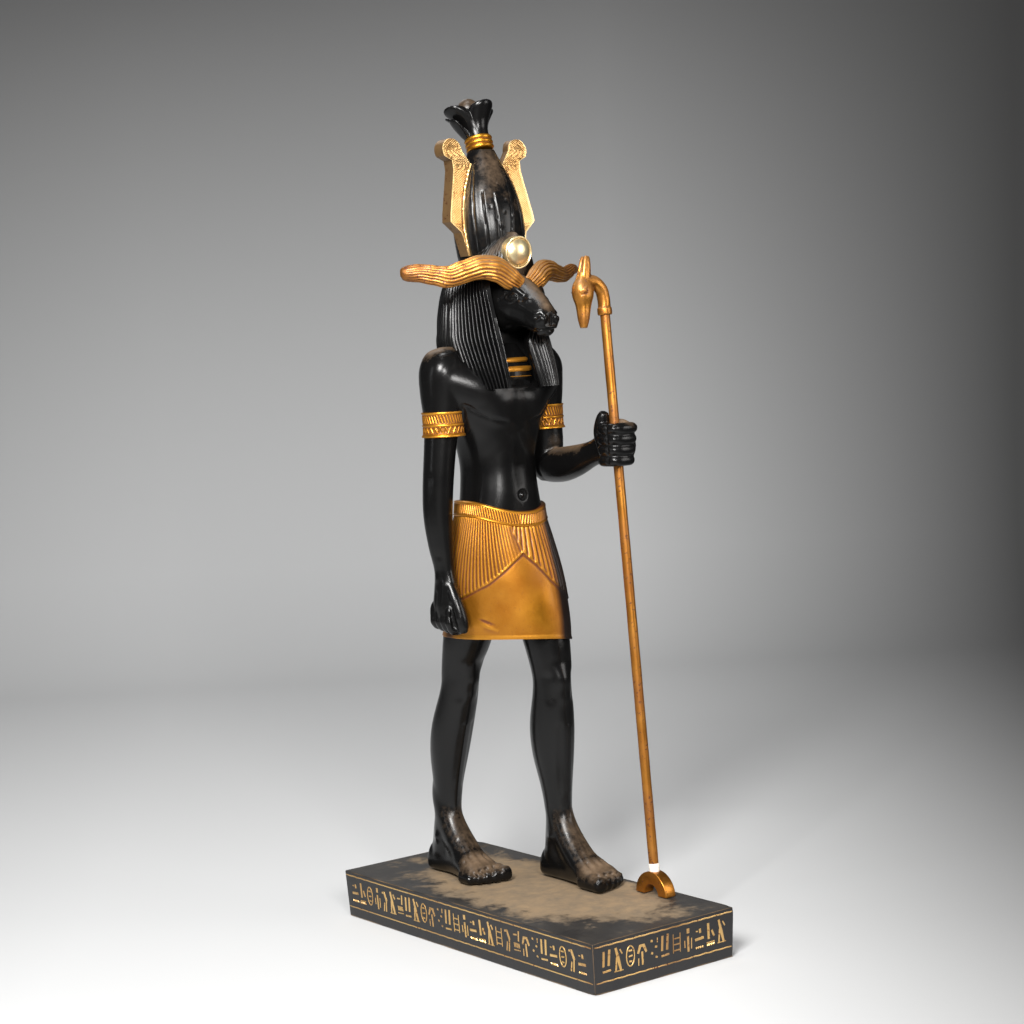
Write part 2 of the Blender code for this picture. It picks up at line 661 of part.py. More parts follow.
def make_plinth():
    edit = bmesh.new()
    bmesh.ops.create_cube(edit, size=1.0)
    for corner in edit.verts:
        inset = PLINTH_DRAFT if corner.co.z < 0 else 0.0
        corner.co.x *= PLINTH_WIDTH - 2 * inset
        corner.co.y *= PLINTH_LENGTH - 2 * inset
        corner.co.z = (corner.co.z + 0.5) * PLINTH_HEIGHT
    for rise, width in ((PLINTH_HEIGHT, PLINTH_TOP_EDGE), (0.0, PLINTH_FOOT_EDGE)):
        edges = [edge for edge in edit.edges if all(abs(v.co.z - rise) < 1e-6 for v in edge.verts)]
        bmesh.ops.bevel(edit, geom=edges, offset=width, segments=2, profile=0.6, affect="EDGES")
    plinth = mesh_object("plinth", edit)
    plinth.data.materials.append(paint("plinth_slate", DUSTY_BLACK, 0.5, 0.0))
    return plinth


def rod_frame():
    """The rod's axis: through the left fist's middle, leaning back as it rises."""
    lean = Vector((0.0, math.sin(ROD_LEAN), math.cos(ROD_LEAN)))
    through = at(FIST_X, FIST_Y, FIST_Z)
    start = through - lean * ((through.z - rod_start_height()) / lean.z)
    turn = Vector((0, 0, 1)).rotation_difference(lean).to_matrix().to_4x4()
    return Matrix.Translation(start) @ turn


def rod_start_height():
    return PLINTH_HEIGHT + FIT_GAP + FORK_OUTER_DIAMETER / 2 - ROD_SOCKET_DEPTH + FIT_GAP


def turned(name, profile, sides, place):
    """A body turned about its own upright axis: rows of height and radius."""
    rings = [[place @ Vector((r * math.cos(2 * math.pi * k / sides), r * math.sin(2 * math.pi * k / sides), z))
              for k in range(sides)] for z, r in profile]
    return loft(name, rings)


def make_rod(place):
    radius = ROD_DIAMETER / 2
    rod = turned("sceptre_rod", ((0.0, radius), (ROD_LENGTH, radius)), ROD_SIDES, place)
    rod.data.materials.append(paint("rod_gold", GOLD, 0.35, 0.9))
    return rod


def make_foot_fork(place):
    """Half a thick ring, open side down, with a socket for the rod's end in its top."""
    foot = place.translation
    seat = PLINTH_HEIGHT + FIT_GAP
    steps = 12
    outer, inner = FORK_OUTER_DIAMETER / 2, FORK_INNER_DIAMETER / 2
    outline = [(-radius * math.cos(math.pi * k / steps), abs(radius) * math.sin(math.pi * k / steps))
               for radius in (outer, -inner) for k in range(steps + 1)]
    edit = bmesh.new()
    loops = [[edit.verts.new((foot.x + side * FORK_THICKNESS / 2, foot.y + y, seat + z)) for y, z in outline]
             for side in (-1, 1)]
    for i in range(len(outline)):
        j = (i + 1) % len(outline)
        edit.faces.new((loops[0][i], loops[0][j], loops[1][j], loops[1][i]))
    edit.faces.new(loops[0])
    edit.faces.new(loops[1])
    fork = mesh_object("sceptre_foot", edit)
    radius = ROD_DIAMETER / 2 + FIT_GAP
    socket = turned("foot_socket", ((-FIT_GAP, radius), (ROD_LENGTH / 2, radius)), ROD_SIDES, place)
    cut(fork, socket)
    fork.data.materials.append(paint("fork_red_gold", RED_GOLD, 0.4, 0.8))
    return fork


def make_sceptre_head(place):
    """A slender animal's head, snout down and ears up, on a bent neck that caps the rod."""
    size = SCEPTRE_HEAD_HEIGHT / SCEPTRE_HEAD_UNITS
    top = ROD_LENGTH

    def here(x, y, z):
        return place @ Vector((size * x, size * y, top + size * z))

    def sweep(name, rows, sides, hint):
        rings = []
        for index, row in enumerate(rows):
            ahead = Vector(rows[min(index + 1, len(rows) - 1)][:3]) - Vector(rows[max(index - 1, 0)][:3])
            ahead.normalize()
            side = Vector(hint) - ahead * ahead.dot(Vector(hint))
            side.normalize()
            other = ahead.cross(side)
            ring = []
            for k in range(sides):
                turn = 2 * math.pi * k / sides
                point = Vector(row[:3]) + side * (row[3] * squared(math.cos(turn), 2.3))
                point += other * (row[4] * squared(math.sin(turn), 2.3))
                ring.append(here(*point))
            rings.append(ring)
        return loft(name, rings)

    neck = smooth_rows(((0, 0, -1.0, 3.1, 3.1), (0, 0, 4.0, 3.1, 3.1), (-1.2, 0, 9.0, 3.2, 3.2),
                        (-5.4, 0, 12.8, 3.2, 3.2), (-10.5, 0, 13.0, 3.6, 3.6)), 1)
    skull = ((-9.4, 0, 25.6, 1.8, 1.8), (-9.8, 0, 24.6, 2.4, 3.4), (-11.2, 0, 16.0, 3.4, 4.4),
             (-12.8, 0, 9.6, 4.8, 5.6), (-13.2, 0, 5.6, 4.6, 5.2), (-13.4, 0, 1.0, 3.1, 3.4),
             (-14.0, 0, -5.5, 2.3, 2.4), (-14.4, 0, -9.9, 1.4, 1.5))
    neck_body = sweep("sceptre_neck", neck, SCEPTRE_SIDES, (0, 1, 0))
    face = sweep("sceptre_face", skull, SCEPTRE_SIDES, (0, 1, 0))
    collar_radius = COLLAR_DIAMETER / 2
    collar = turned("sceptre_collar", ((top - ROD_SOCKET_DEPTH, collar_radius - 0.0004),
                                       (top - ROD_SOCKET_DEPTH + 0.0006, collar_radius),
                                       (top - 0.0006, collar_radius), (top, collar_radius - 0.0005)), ROD_SIDES,
                    place)
    radius = ROD_DIAMETER / 2 + FIT_GAP
    socket = turned("sceptre_socket", ((top - 0.02, radius), (top + FIT_GAP, radius)), ROD_SIDES, place)
    head = cut(gather("sceptre_head", [neck_body, face, collar]), socket)
    head.data.materials.append(paint("head_red_gold", RED_GOLD, 0.38, 0.85))
    return head


def shade(thing):
    thing.data.shade_smooth()
    thing.data.set_sharp_from_angle(angle=math.radians(35))


def main():
    clear_scene()
    place = rod_frame()
    make_plinth()
    hole_radius = ROD_DIAMETER / 2 + FIT_GAP
    rod_hole = turned("rod_hole", ((0.02, hole_radius), (ROD_LENGTH, hole_radius)), ROD_SIDES, place)
    figure = make_figure(rod_hole)
    rod = make_rod(place)
    fork = make_foot_fork(place)
    head = make_sceptre_head(place)
    for thing in (figure, rod, fork, head):
        shade(thing)


main()
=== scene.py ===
"""Looks of the khnum figurine: carved skins, gilding, dust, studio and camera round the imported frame.

Metres, +Z up. The origin is the middle of the plinth's underside. The figure faces -Y, and its right
hand is at -X. The figure's own shapes are given in units: 410.2 units from its soles to its ball.
"""
import math

import bmesh
import bpy
import numpy as np
from bpy.props import FloatProperty, FloatVectorProperty, IntProperty, PointerProperty
from mathutils import Matrix, Vector


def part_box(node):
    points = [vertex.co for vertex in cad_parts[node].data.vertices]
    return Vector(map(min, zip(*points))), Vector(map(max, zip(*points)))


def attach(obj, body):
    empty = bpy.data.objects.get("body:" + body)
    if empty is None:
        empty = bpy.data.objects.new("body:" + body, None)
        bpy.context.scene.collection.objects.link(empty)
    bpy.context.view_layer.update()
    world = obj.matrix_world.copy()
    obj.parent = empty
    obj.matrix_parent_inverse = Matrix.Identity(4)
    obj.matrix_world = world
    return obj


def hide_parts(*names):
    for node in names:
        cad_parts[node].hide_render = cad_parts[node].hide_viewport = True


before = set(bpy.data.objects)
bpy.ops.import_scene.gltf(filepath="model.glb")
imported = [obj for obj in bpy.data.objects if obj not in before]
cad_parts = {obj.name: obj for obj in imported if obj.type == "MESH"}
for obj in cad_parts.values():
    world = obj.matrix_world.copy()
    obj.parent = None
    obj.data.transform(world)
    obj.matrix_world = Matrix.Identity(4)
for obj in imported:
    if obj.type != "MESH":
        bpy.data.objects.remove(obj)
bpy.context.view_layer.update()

bl_info = {
    "name": "Khnum figurine",
    "version": (1, 0, 0),
    "blender": (4, 5, 0),
    "location": "View3D > Sidebar > Figurine",
    "description": "Carved and gilded pieces of a ram-headed figurine on its plinth",
    "category": "Add Mesh",
}

PLINTH_LOW, PLINTH_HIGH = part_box("plinth")
FIGURE_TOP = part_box("figure")[1]

# The figure's own frame: units from its soles, its axis beside the plinth's middle.
FIT_GAP = 0.0003
UNITS_HIGH = 410.2
SOLES = PLINTH_HIGH.z + FIT_GAP
UNIT = (FIGURE_TOP.z - SOLES) / UNITS_HIGH
FIGURE_FOOT = np.array((0.008, 0.019, SOLES))

# The most triangles a piece keeps, and the angle past which its edges stay sharp, in degrees.
MOST_TRIANGLES = 58000
SHARP_ANGLE = 40.0

# The rod of the sceptre leans back to the left fist's middle, given in units.
ROD_RADIUS = 0.0025
ROD_LENGTH = 0.290
ROD_LEAN = math.radians(3.42)
FIST = (27.0, -66.2, 231.0)
FORK_RADIUS, FORK_HOLLOW_RADIUS, FORK_THICKNESS = 0.01175, 0.00525, 0.0066
ROD_SOCKET_DEPTH = 0.004
BARE_BAND_TALL = 0.0042

ARMBAND_LOW, ARMBAND_HIGH, ARMBAND_X = 236.8, 249.6, 32.5
BELT_DIP, BELT_TILT, BELT_DIP_POWER = 5.2, 3.2, 2.2
HEM_DROP, HEM_DROP_POWER = 5.0, 2.5


# Points, curves and rings

def metres(points):
    """Points of the figure, from units to metres."""
    return np.asarray(points, float) * UNIT + FIGURE_FOOT


def curve_through(rows, steps):
    """Rows of numbers on a smooth curve through the given rows, with steps between each two."""
    rows = np.array(rows, float)
    rows = np.vstack((2 * rows[0] - rows[1], rows, 2 * rows[-1] - rows[-2]))
    found = []
    for a, b, c, d in zip(rows, rows[1:], rows[2:], rows[3:]):
        for t in np.arange(steps) / steps:
            found.append(b + 0.5 * t * (c - a + t * (2 * a - 5 * b + 4 * c - d + t * (3 * (b - c) + d - a))))
    found.append(rows[-2])
    return np.array(found)


def turns(sides):
    """Equal steps round a circle, as angles."""
    return np.arange(sides) * 2 * np.pi / sides


def full_turn(steps):
    """Angles once round, back to the first."""
    return turns(steps).tolist() + [0.0]


def squared(values, power):
    """Bends sines or cosines towards the corners of a box."""
    return np.sign(values) * np.abs(values) ** (2.0 / power)


def row_at(table, value, key=0):
    """The row of a table at a value of its key column, between the rows given."""
    return [np.interp(value, table[:, key], column) for column in table.T]


def level_rings(rows, sides, power=2.0):
    """Level ovals: rows of x, y, z, half width, half depth."""
    turn = turns(sides)
    across, along = squared(np.cos(turn), power), squared(np.sin(turn), power)
    return np.array([np.stack((x + a * across, y + b * along, np.full(sides, z)), 1) for x, y, z, a,
                     b in rows])


def path_rings(rows, sides, hint, power=2.0):
    """Ovals square to a path: rows of x, y, z, half across the hint's way, half the other way."""
    rows = np.array(rows, float)
    turn = turns(sides)
    rings = []
    for index, row in enumerate(rows):
        ahead = rows[min(index + 1, len(rows) - 1), :3] - rows[max(index - 1, 0), :3]
        ahead /= np.linalg.norm(ahead)
        side = np.array(hint, float) - ahead * np.dot(ahead, hint)
        side /= np.linalg.norm(side)
        other = np.cross(ahead, side)
        ring = row[:3] + np.outer(row[3] * squared(np.cos(turn), power), side)
        rings.append(ring + np.outer(row[4] * squared(np.sin(turn), power), other))
    return np.array(rings)


def ball_rings(middle, radii, sides=24):
    """Rings of an egg with the given half sizes."""
    x, y, z = middle
    a, b, c = radii
    lift = np.linspace(-1, 1, 15)[1:-1] * np.pi / 2
    return level_rings([(x, y, z + c * math.sin(t), a * math.cos(t), b * math.cos(t)) for t in lift], sides)


def loft(rings):
    """Corners and faces of a closed body through rings, each end closed round its middle."""
    rings = np.asarray(rings)
    rows, sides = rings.shape[:2]
    start = (np.arange(rows - 1)[:, None] * sides + np.arange(sides)).ravel()
    after = (np.arange(rows - 1)[:, None] * sides + (np.arange(sides) + 1) % sides).ravel()
    faces = np.stack((start, after, after + sides, start + sides), 1).tolist()
    corners = np.vstack((rings.reshape(-1, 3), rings[0].mean(0), rings[-1].mean(0)))
    low, high, last = rows * sides, rows * sides + 1, (rows - 1) * sides
    for i in range(sides):
        j = (i + 1) % sides
        faces.append([j, i, low])
        faces.append([last + i, last + j, high])
    return corners, faces


def pull(rings, way):
    """Moves each corner by a height outwards from its ring's middle."""
    out = rings - rings.mean(1, keepdims=True)
    out /= np.maximum(np.linalg.norm(out, axis=2, keepdims=True), 1e-9)
    return rings + out * way[..., None]


# Meshes and pieces

def activate(piece):
    """Makes the piece the only one selected."""
    bpy.ops.object.select_all(action="DESELECT")
    bpy.context.view_layer.objects.active = piece
    piece.select_set(True)


def piece_from(name, bodies, in_units=True):
    """One object from bodies of corners and faces, with every body's faces pointing out."""
    corners, faces = [], []
    for points, around in bodies:
        first = len(corners)
        corners += (metres(points) if in_units else np.asarray(points)).tolist()
        faces += [[first + index for index in face] for face in around]
    mesh = bpy.data.meshes.new(name)
    mesh.from_pydata(corners, [], faces)
    edit = bmesh.new()
    edit.from_mesh(mesh)
    bmesh.ops.recalc_face_normals(edit, faces=edit.faces)
    edit.to_mesh(mesh)
    edit.free()
    piece = bpy.data.objects.new(name, mesh)
    bpy.context.scene.collection.objects.link(piece)
    return piece


def add_modifier(piece, kind, **settings):
    """Adds a modifier of that kind to the piece and applies it."""
    activate(piece)
    bpy.ops.object.modifier_add(type=kind)
    step = piece.modifiers[-1]
    for key, value in settings.items():
        setattr(step, key, value)
    bpy.ops.object.modifier_apply(modifier=step.name)


def melt(name, bodies, grain, rounds=6):
    """Overlapping bodies become one skin of small even faces, and its creases are softened."""
    piece = piece_from(name, bodies)
    activate(piece)
    piece.data.remesh_voxel_size = grain * UNIT
    piece.data.use_remesh_preserve_volume = False
    bpy.ops.object.voxel_remesh()
    if rounds:
        add_modifier(piece, "SMOOTH", factor=0.5, iterations=rounds)
    return piece


def corners_of(piece):
    """The piece's corners, in metres."""
    found = np.empty(len(piece.data.vertices) * 3, np.float32)
    piece.data.vertices.foreach_get("co", found)
    return found.reshape(-1, 3).astype(float)


def normals_of(piece):
    """The way each of the piece's corners faces."""
    found = np.empty(len(piece.data.vertices) * 3, np.float32)
    piece.data.vertex_normals.foreach_get("vector", found)
    return found.reshape(-1, 3).astype(float)


def set_corners(piece, points):
    """Moves the piece's corners to those places, in metres."""
    piece.data.vertices.foreach_set("co", np.asarray(points, np.float32).ravel())
    piece.data.update()


def units_of(piece):
    """The corners of a piece of the figure, in units from its soles."""
    return (corners_of(piece) - FIGURE_FOOT) / UNIT


def distance_to_line(points, line):
    """How far each point lies from a line through the given points."""
    line = np.atleast_2d(np.array(line, float))
    if len(line) == 1:
        return np.linalg.norm(points - line[0], axis=1)
    best = np.full(len(points), np.inf)
    for a, b in zip(line, line[1:]):
        way = b - a
        share = np.clip((points - a) @ way / max(way @ way, 1e-9), 0, 1)
        best = np.minimum(best, np.linalg.norm(points - a - share[:, None] * way, axis=1))
    return best


def carve(piece, strokes):
    """Sinks or raises the skin along lines: each stroke is a line, its width and its height in units."""
    points = units_of(piece)
    push = np.zeros(len(points))
    for line, width, height in strokes:
        reach = np.atleast_2d(np.array(line, float))
        low, high = reach.min(0) - 3 * width, reach.max(0) + 3 * width
        near = np.flatnonzero(((points > low) & (points < high)).all(1))
        if near.size:
            push[near] += height * np.exp(-(distance_to_line(points[near], line) / width) ** 2)
    set_corners(piece, metres(points + normals_of(piece) * push[:, None]))


def mirrored(strokes):
    """The strokes, and the same ones on the other side."""
    other = [([(-x, y, z) for x, y, z in line], width, height) for line, width, height in strokes]
    return list(strokes) + other


def mark(piece, name, values):
    """Keeps a number for each corner, which the materials read."""
    layer = piece.data.attributes.new(name, "FLOAT", "POINT")
    layer.data.foreach_set("value", np.asarray(values, np.float32))


def mark_hollows(piece, reach=0.35, rounds=8):
    """Marks how deep each corner lies under the surface smoothed, from -1 on ridges to 1 in grooves."""
    points = corners_of(piece)
    ends = np.empty(len(piece.data.edges) * 2, np.int32)
    piece.data.edges.foreach_get("vertices", ends)
    first, second = ends.reshape(-1, 2).T
    count = len(points)
    near = np.maximum(np.bincount(first, minlength=count) + np.bincount(second, minlength=count), 1)
    smooth = points.copy()
    for _ in range(rounds):
        total = np.empty_like(smooth)
        for axis in range(3):
            total[:, axis] = np.bincount(first, smooth[second, axis], count)
            total[:, axis] += np.bincount(second, smooth[first, axis], count)
        smooth = total / near[:, None]
    depth = ((smooth - points) * normals_of(piece)).sum(1) / (reach * UNIT)
    mark(piece, "hollow", np.clip(depth, -1, 1))


def mark_dust(piece, spots, base=0.0):
    """Marks where brown dust lies: spots of a middle, a radius and a strength, in units."""
    points = units_of(piece)
    amount = np.full(len(points), float(base))
    for middle, radius, strength in spots:
        distance = distance_to_line(points, middle)
        amount = np.maximum(amount, strength * np.exp(-(distance / radius) ** 2))
    mark(piece, "dust", amount)


def finish_piece(piece, node, finish, angle=SHARP_ANGLE):
    """Gives a piece its finish, hangs it on the root body and hides the solid it stands for."""
    piece.data.materials.clear()
    piece.data.materials.append(finish_called(finish))
    triangles = len(piece.data.loops) - 2 * len(piece.data.polygons)
    if triangles > MOST_TRIANGLES:
        add_modifier(piece, "DECIMATE", ratio=MOST_TRIANGLES / triangles)
    activate(piece)
    bpy.ops.object.shade_smooth_by_angle(angle=math.radians(angle))
    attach(piece, "root")
    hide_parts(node)


def finish_black(piece, angle=SHARP_ANGLE):
    """Finishes a piece of the figure that is bare black resin."""
    finish_piece(piece, "figure", "black", angle)


def finish_gilt(piece, paint="gold", angle=SHARP_ANGLE):
    """Finishes a piece of the figure that is painted gold."""
    finish_piece(piece, "figure", paint, angle)


def spun(name, profile, sides, place=Matrix()):
    """A profile of radius and height, spun in edit mode and set in its place, in metres."""
    mesh = bpy.data.meshes.new(name)
    links = [(i, i + 1) for i in range(len(profile) - 1)]
    mesh.from_pydata([(radius, 0.0, height) for radius, height in profile], links, [])
    piece = bpy.data.objects.new(name, mesh)
    bpy.context.scene.collection.objects.link(piece)
    activate(piece)
    bpy.ops.object.mode_set(mode="EDIT")
    bpy.ops.mesh.select_all(action="SELECT")
    bpy.ops.mesh.spin(steps=sides, angle=2 * math.pi, center=(0, 0, 0), axis=(0, 0, 1))
    bpy.ops.mesh.select_all(action="SELECT")
    bpy.ops.mesh.remove_doubles(threshold=0.000002)
    bpy.ops.mesh.normals_make_consistent(inside=False)
    bpy.ops.object.mode_set(mode="OBJECT")
    piece.data.transform(place)
    return piece


# Materials

class Wire:
    """The value of a socket, for sums written as expressions."""

    def __init__(self, tree, socket):
        self.tree = tree
        self.socket = socket

    def sum_of(self, operation, *values):
        """Adds a Math node for the values and gives its result."""
        node = self.tree.nodes.new("ShaderNodeMath")
        node.operation = operation
        for socket, value in zip(node.inputs, values):
            if isinstance(value, Wire):
                self.tree.links.new(value.socket, socket)
            else:
                socket.default_value = value
        return Wire(self.tree, node.outputs[0])

    def __add__(self, other):
        return self.sum_of("ADD", self, other)

    def __radd__(self, other):
        return self.sum_of("ADD", other, self)

    def __sub__(self, other):
        return self.sum_of("SUBTRACT", self, other)

    def __rsub__(self, other):
        return self.sum_of("SUBTRACT", other, self)

    def __mul__(self, other):
        return self.sum_of("MULTIPLY", self, other)

    def __rmul__(self, other):
        return self.sum_of("MULTIPLY", other, self)

    def held(self):
        """The value kept between 0 and 1."""
        return self.sum_of("MINIMUM", self.sum_of("MAXIMUM", self, 0.0), 1.0)


class Finish:
    """A material in the making: its tree, its shader and a way to add any node."""

    def __init__(self, name, metallic=0.0, **steady):
        self.material = bpy.data.materials.new(name)
        self.material.use_nodes = True
        self.tree = self.material.node_tree
        self.shader = self.tree.nodes["Principled BSDF"]
        self.shader.inputs["Metallic"].default_value = metallic
        for key, value in steady.items():
            self.shader.inputs[key.replace("_", " ")].default_value = value
        self.place = self.node("TexCoord", {}, "Object")

    def node(self, kind, settings, output, **values):
        """Adds a node, sets it, fills or links its sockets and gives one output."""
        node = self.tree.nodes.new("ShaderNode" + kind)
        for key, value in settings.items():
            setattr(node, key, value)
        for key, value in values.items():
            self.feed(node.inputs[int(key[1:]) if key[0] == "i" and key[1:].isdigit() else key], value)
        return Wire(self.tree, node.outputs[output])

    def feed(self, socket, value):
        """Links a Wire to a socket, or fills the socket with a value."""
        if isinstance(value, Wire):
            self.tree.links.new(value.socket, socket)
        else:
            socket.default_value = value

    def set(self, name, value):
        """Feeds a socket of the shader."""
        self.feed(self.shader.inputs[name], value)

    def noise(self, size, detail=3.0, roughness=0.5):
        """Cloudy noise whose patches are about that many millimetres."""
        return self.node("TexNoise", {}, "Fac", Vector=self.place, Scale=1000.0 / size, Detail=detail,
                         Roughness=roughness)

    def marked(self, name):
        """The number that the piece's corners keep under that name, or 0 without one."""
        return self.node("Attribute", {"attribute_name": name}, "Fac")

    def upward(self):
        """How far the surface faces up, from -1 to 1."""
        normal = self.node("NewGeometry", {}, "Normal")
        return self.node("SeparateXYZ", {}, "Z", Vector=normal)

    def blend(self, share, colour, other):
        """One colour going over into another by a share from 0 to 1."""
        return self.node("Mix", {"data_type": "RGBA"}, 2, Factor=share, i6=colour, i7=other)

    def bump(self, height, strength, distance):
        """A normal bent by heights."""
        return self.node("Bump", {}, "Normal", Height=height, Strength=strength, Distance=distance)


def relief(name):
    """One of the relief's heights, in units."""
    return getattr(bpy.context.scene.figurine_sizes, name) / UNIT


def colour_of(name):
    """One of the colours a user can change."""
    return tuple(getattr(bpy.context.scene.figurine_colours, name)) + (1.0,)


def black_finish():
    """Satin black cast resin with brown dust where it could settle."""
    finish = Finish("black_resin", Specular_IOR_Level=0.27)
    cloud = finish.noise(11.0, 4.0, 0.6)
    grain = finish.noise(1.3, 3.0, 0.6)
    up = (finish.upward() * 1.1 + 0.35).held()
    hollow = finish.marked("hollow")
    dust = finish.marked("dust")
    patch = finish.noise(3.6, 4.0, 0.65)
    dusty = ((dust * 1.15 + patch * 0.9 + grain * 0.4 - 1.0) * up * (dust * 3.0).held() * 1.15).held()
    tint = finish.blend(cloud, colour_of("black"), colour_of("worn_black"))
    finish.set("Base Color", finish.blend(dusty * 0.85, tint, colour_of("dust")))
    finish.set("Roughness", 0.19 + cloud * 0.10 + dusty * 0.4 + (hollow * 0.12).held())
    finish.set("Normal", finish.bump(grain + cloud * 0.5, 0.09, 0.0004))
    return finish.material


def gold_finish(name, bright, mid, deep, speck=0.0):
    """Gold paint rubbed back with brown: bright on ridges, brown and dark in hollows. The patina mark it
    reads also carries painted shade.
    """
    finish = Finish(name, Coat_Weight=0.08, Coat_Roughness=0.14)
    cloud = finish.noise(14.0, 4.0, 0.6)
    grain = finish.noise(0.9, 3.0, 0.65)
    hollow = finish.marked("hollow")
    patina = finish.marked("patina")
    sunk = (hollow * 1.5 + 0.02).held()
    raised = (0.0 - hollow * 1.6).held()
    tone = finish.blend((cloud * 1.5 - 0.35 + raised * 0.55).held(), colour_of(mid), colour_of(bright))
    speckle = ((finish.noise(1.6, 2.0, 0.5) - 0.61) * 9.0).held() * speck
    # Brown comes from the hollows, the specks and the mark, whose painted shade browns the gold before it
    # goes black.
    brown = (sunk * 0.95 + speckle + patina * 0.8 * (0.55 + cloud)).held()
    tone = finish.blend(brown, tone, colour_of(deep))
    # Painted shade: past 0.72 the mark turns the gold black, mostly on the far sides of the kilt, belt,
    # armbands and plumes.
    dark = ((patina - 0.72) * 3.4).held()
    up = (finish.upward() * 1.3 + 0.1).held()
    dusty = ((finish.marked("dust") * 1.3 + cloud * 0.9 + grain * 0.4 - 0.85) * up * 1.6).held()
    tone = finish.blend(dark, tone, colour_of("black"))
    finish.set("Base Color", finish.blend(dusty * 0.75, tone, colour_of("gold_dust")))
    finish.set("Metallic", 0.95 - brown * 0.5 - dusty * 0.42)
    finish.set("Roughness", 0.27 + grain * 0.12 + brown * 0.2)
    finish.set("Normal", finish.bump(grain + cloud * 0.4, 0.22, 0.0003))
    return finish.material


def slate_finish():
    """The plinth: mottled dark slate, with tan dust lying thick in the middle of its top."""
    finish = Finish("plinth_slate", Specular_IOR_Level=0.35)
    cloud = finish.noise(26.0, 5.0, 0.62)
    patch = finish.noise(7.0, 4.0, 0.65)
    grain = finish.noise(1.0, 3.0, 0.6)
    dust = finish.marked("dust")
    up = ((finish.upward() - 0.6) * 3.0).held()
    dusty = ((dust * 1.7 + cloud * 1.2 + patch * 0.9 - 1.5) * 3.4).held() * up
    film = (cloud * 1.2 + patch * 0.6 - 0.55).held() * up
    tint = finish.blend(cloud, colour_of("slate"), colour_of("worn_slate"))
    tint = finish.blend(film * 0.55, tint, colour_of("grey_dust"))
    # Gold rubbed on the rounded edges, which also stands in for painted glints.
    worn = (finish.marked("wear") * (grain * 1.4 + 0.1)).held()
    tint = finish.blend(dusty * 0.9, tint, finish.blend(patch, colour_of("tan_dust"),
                                                        colour_of("grey_dust")))
    finish.set("Base Color", finish.blend(worn * 0.6, tint, colour_of("edge_gold")))
    finish.set("Roughness", 0.36 + cloud * 0.12 + dusty * 0.4 + film * 0.12)
    finish.set("Normal", finish.bump(patch + grain * 0.5, 0.28, 0.0005))
    return finish.material


def plain_finish(name, colour, roughness):
    """One colour with a little dust and a fine grain."""
    finish = Finish(name)
    grain = finish.noise(1.2, 3.0)
    finish.set("Base Color", finish.blend(grain * 0.35, colour_of(colour), colour_of("dust")))
    finish.set("Roughness", roughness + grain * 0.1)
    finish.set("Normal", finish.bump(grain, 0.1, 0.0003))
    return finish.material


FINISHES = {}


def finish_called(name):
    """The finish of that name, made when it is first asked for."""
    makers = {
        "black": black_finish,
        "gold": lambda: gold_finish("antique_gold", "gold_bright", "gold_mid", "gold_deep", 0.15),
        # The plume finish is a lighter copy of the gold, with painted sheen in its colour.
        "plume": lambda: gold_finish("plume_gold", "pale_bright", "plume_mid", "gold_deep", 0.3),
        # The disc finish is a lighter copy of the gold: painted sheen for the light the disc reflects.
        "disc_sheen": lambda: gold_finish("bright_gold", "disc_sheen_bright", "disc_sheen_mid", "gold_deep", 0.3),
        "worn": lambda: gold_finish("worn_gold", "red_bright", "red_mid", "red_deep", 1.0),
        "red": lambda: gold_finish("red_gold", "red_bright", "red_mid", "red_deep", 1.0),
        "pale": lambda: gold_finish("inscription_gold", "pale_bright", "pale_mid", "gold_deep", 0.8),
        "slate": slate_finish,
        "bare": lambda: plain_finish("bare_plaster", "bare_white", 0.6),
    }
    if name not in FINISHES:
        FINISHES[name] = makers[name]()
    return FINISHES[name]


# Torso

TORSO = (
    # x, y, z, half width, half depth
    (0, -1.0, 188, 22.4, 19.4), (0, -1.0, 197, 21.6, 19.4), (0, -1.0, 206, 20.0, 19.3),
    (0.3, -0.4, 220, 19.0, 18.9), (0.2, -0.4, 234, 22.0, 19.8), (0, -0.8, 246, 28.0, 21.6),
    (0, -0.6, 258, 31.5, 22.6), (0, 0.6, 269, 31.0, 18.0), (0, 1.6, 277, 23.5, 13.6),
    (0, 0.5, 284, 13.5, 11.0), (0, -4.0, 296, 10.5, 11.5), (0, -8.0, 308, 10.0, 11.0),
)
UPPER_ARM = (
    (-27.0, 0.6, 282.5, 4.0, 4.5), (-29.5, 0.4, 279.5, 9.0, 9.5), (-31.0, 0.0, 271.0, 12.0, 12.6),
    (-32.2, 0.0, 258.0, 11.0, 12.0), (-32.5, 0.0, 244.0, 9.4, 10.0), (-32.6, 0.0, 240.5, 9.2, 9.8),
)
PECTORAL = (
    # x, y, z, half height, half depth; from the shoulder to the breastbone
    (-32.5, -0.6, 266.0, 12.0, 11.2), (-25.0, -4.6, 263.4, 13.4, 12.0), (-15.0, -9.2, 259.0, 14.2, 12.5),
    (-5.0, -11.2, 257.4, 12.4, 11.2),
)
COLLAR_BED = (
    (0, -8.0, 257, 13.0, 13.0), (0, -8.8, 264, 15.6, 16.4), (0, -8.0, 270, 14.4, 16.8),
    (0, -7.0, 276, 12.0, 15.2), (0, -6.0, 283, 9.0, 10.5),
)


def flipped(rows):
    """The same rows on the figure's other side."""
    return [(-row[0],) + tuple(row[1:]) for row in rows]


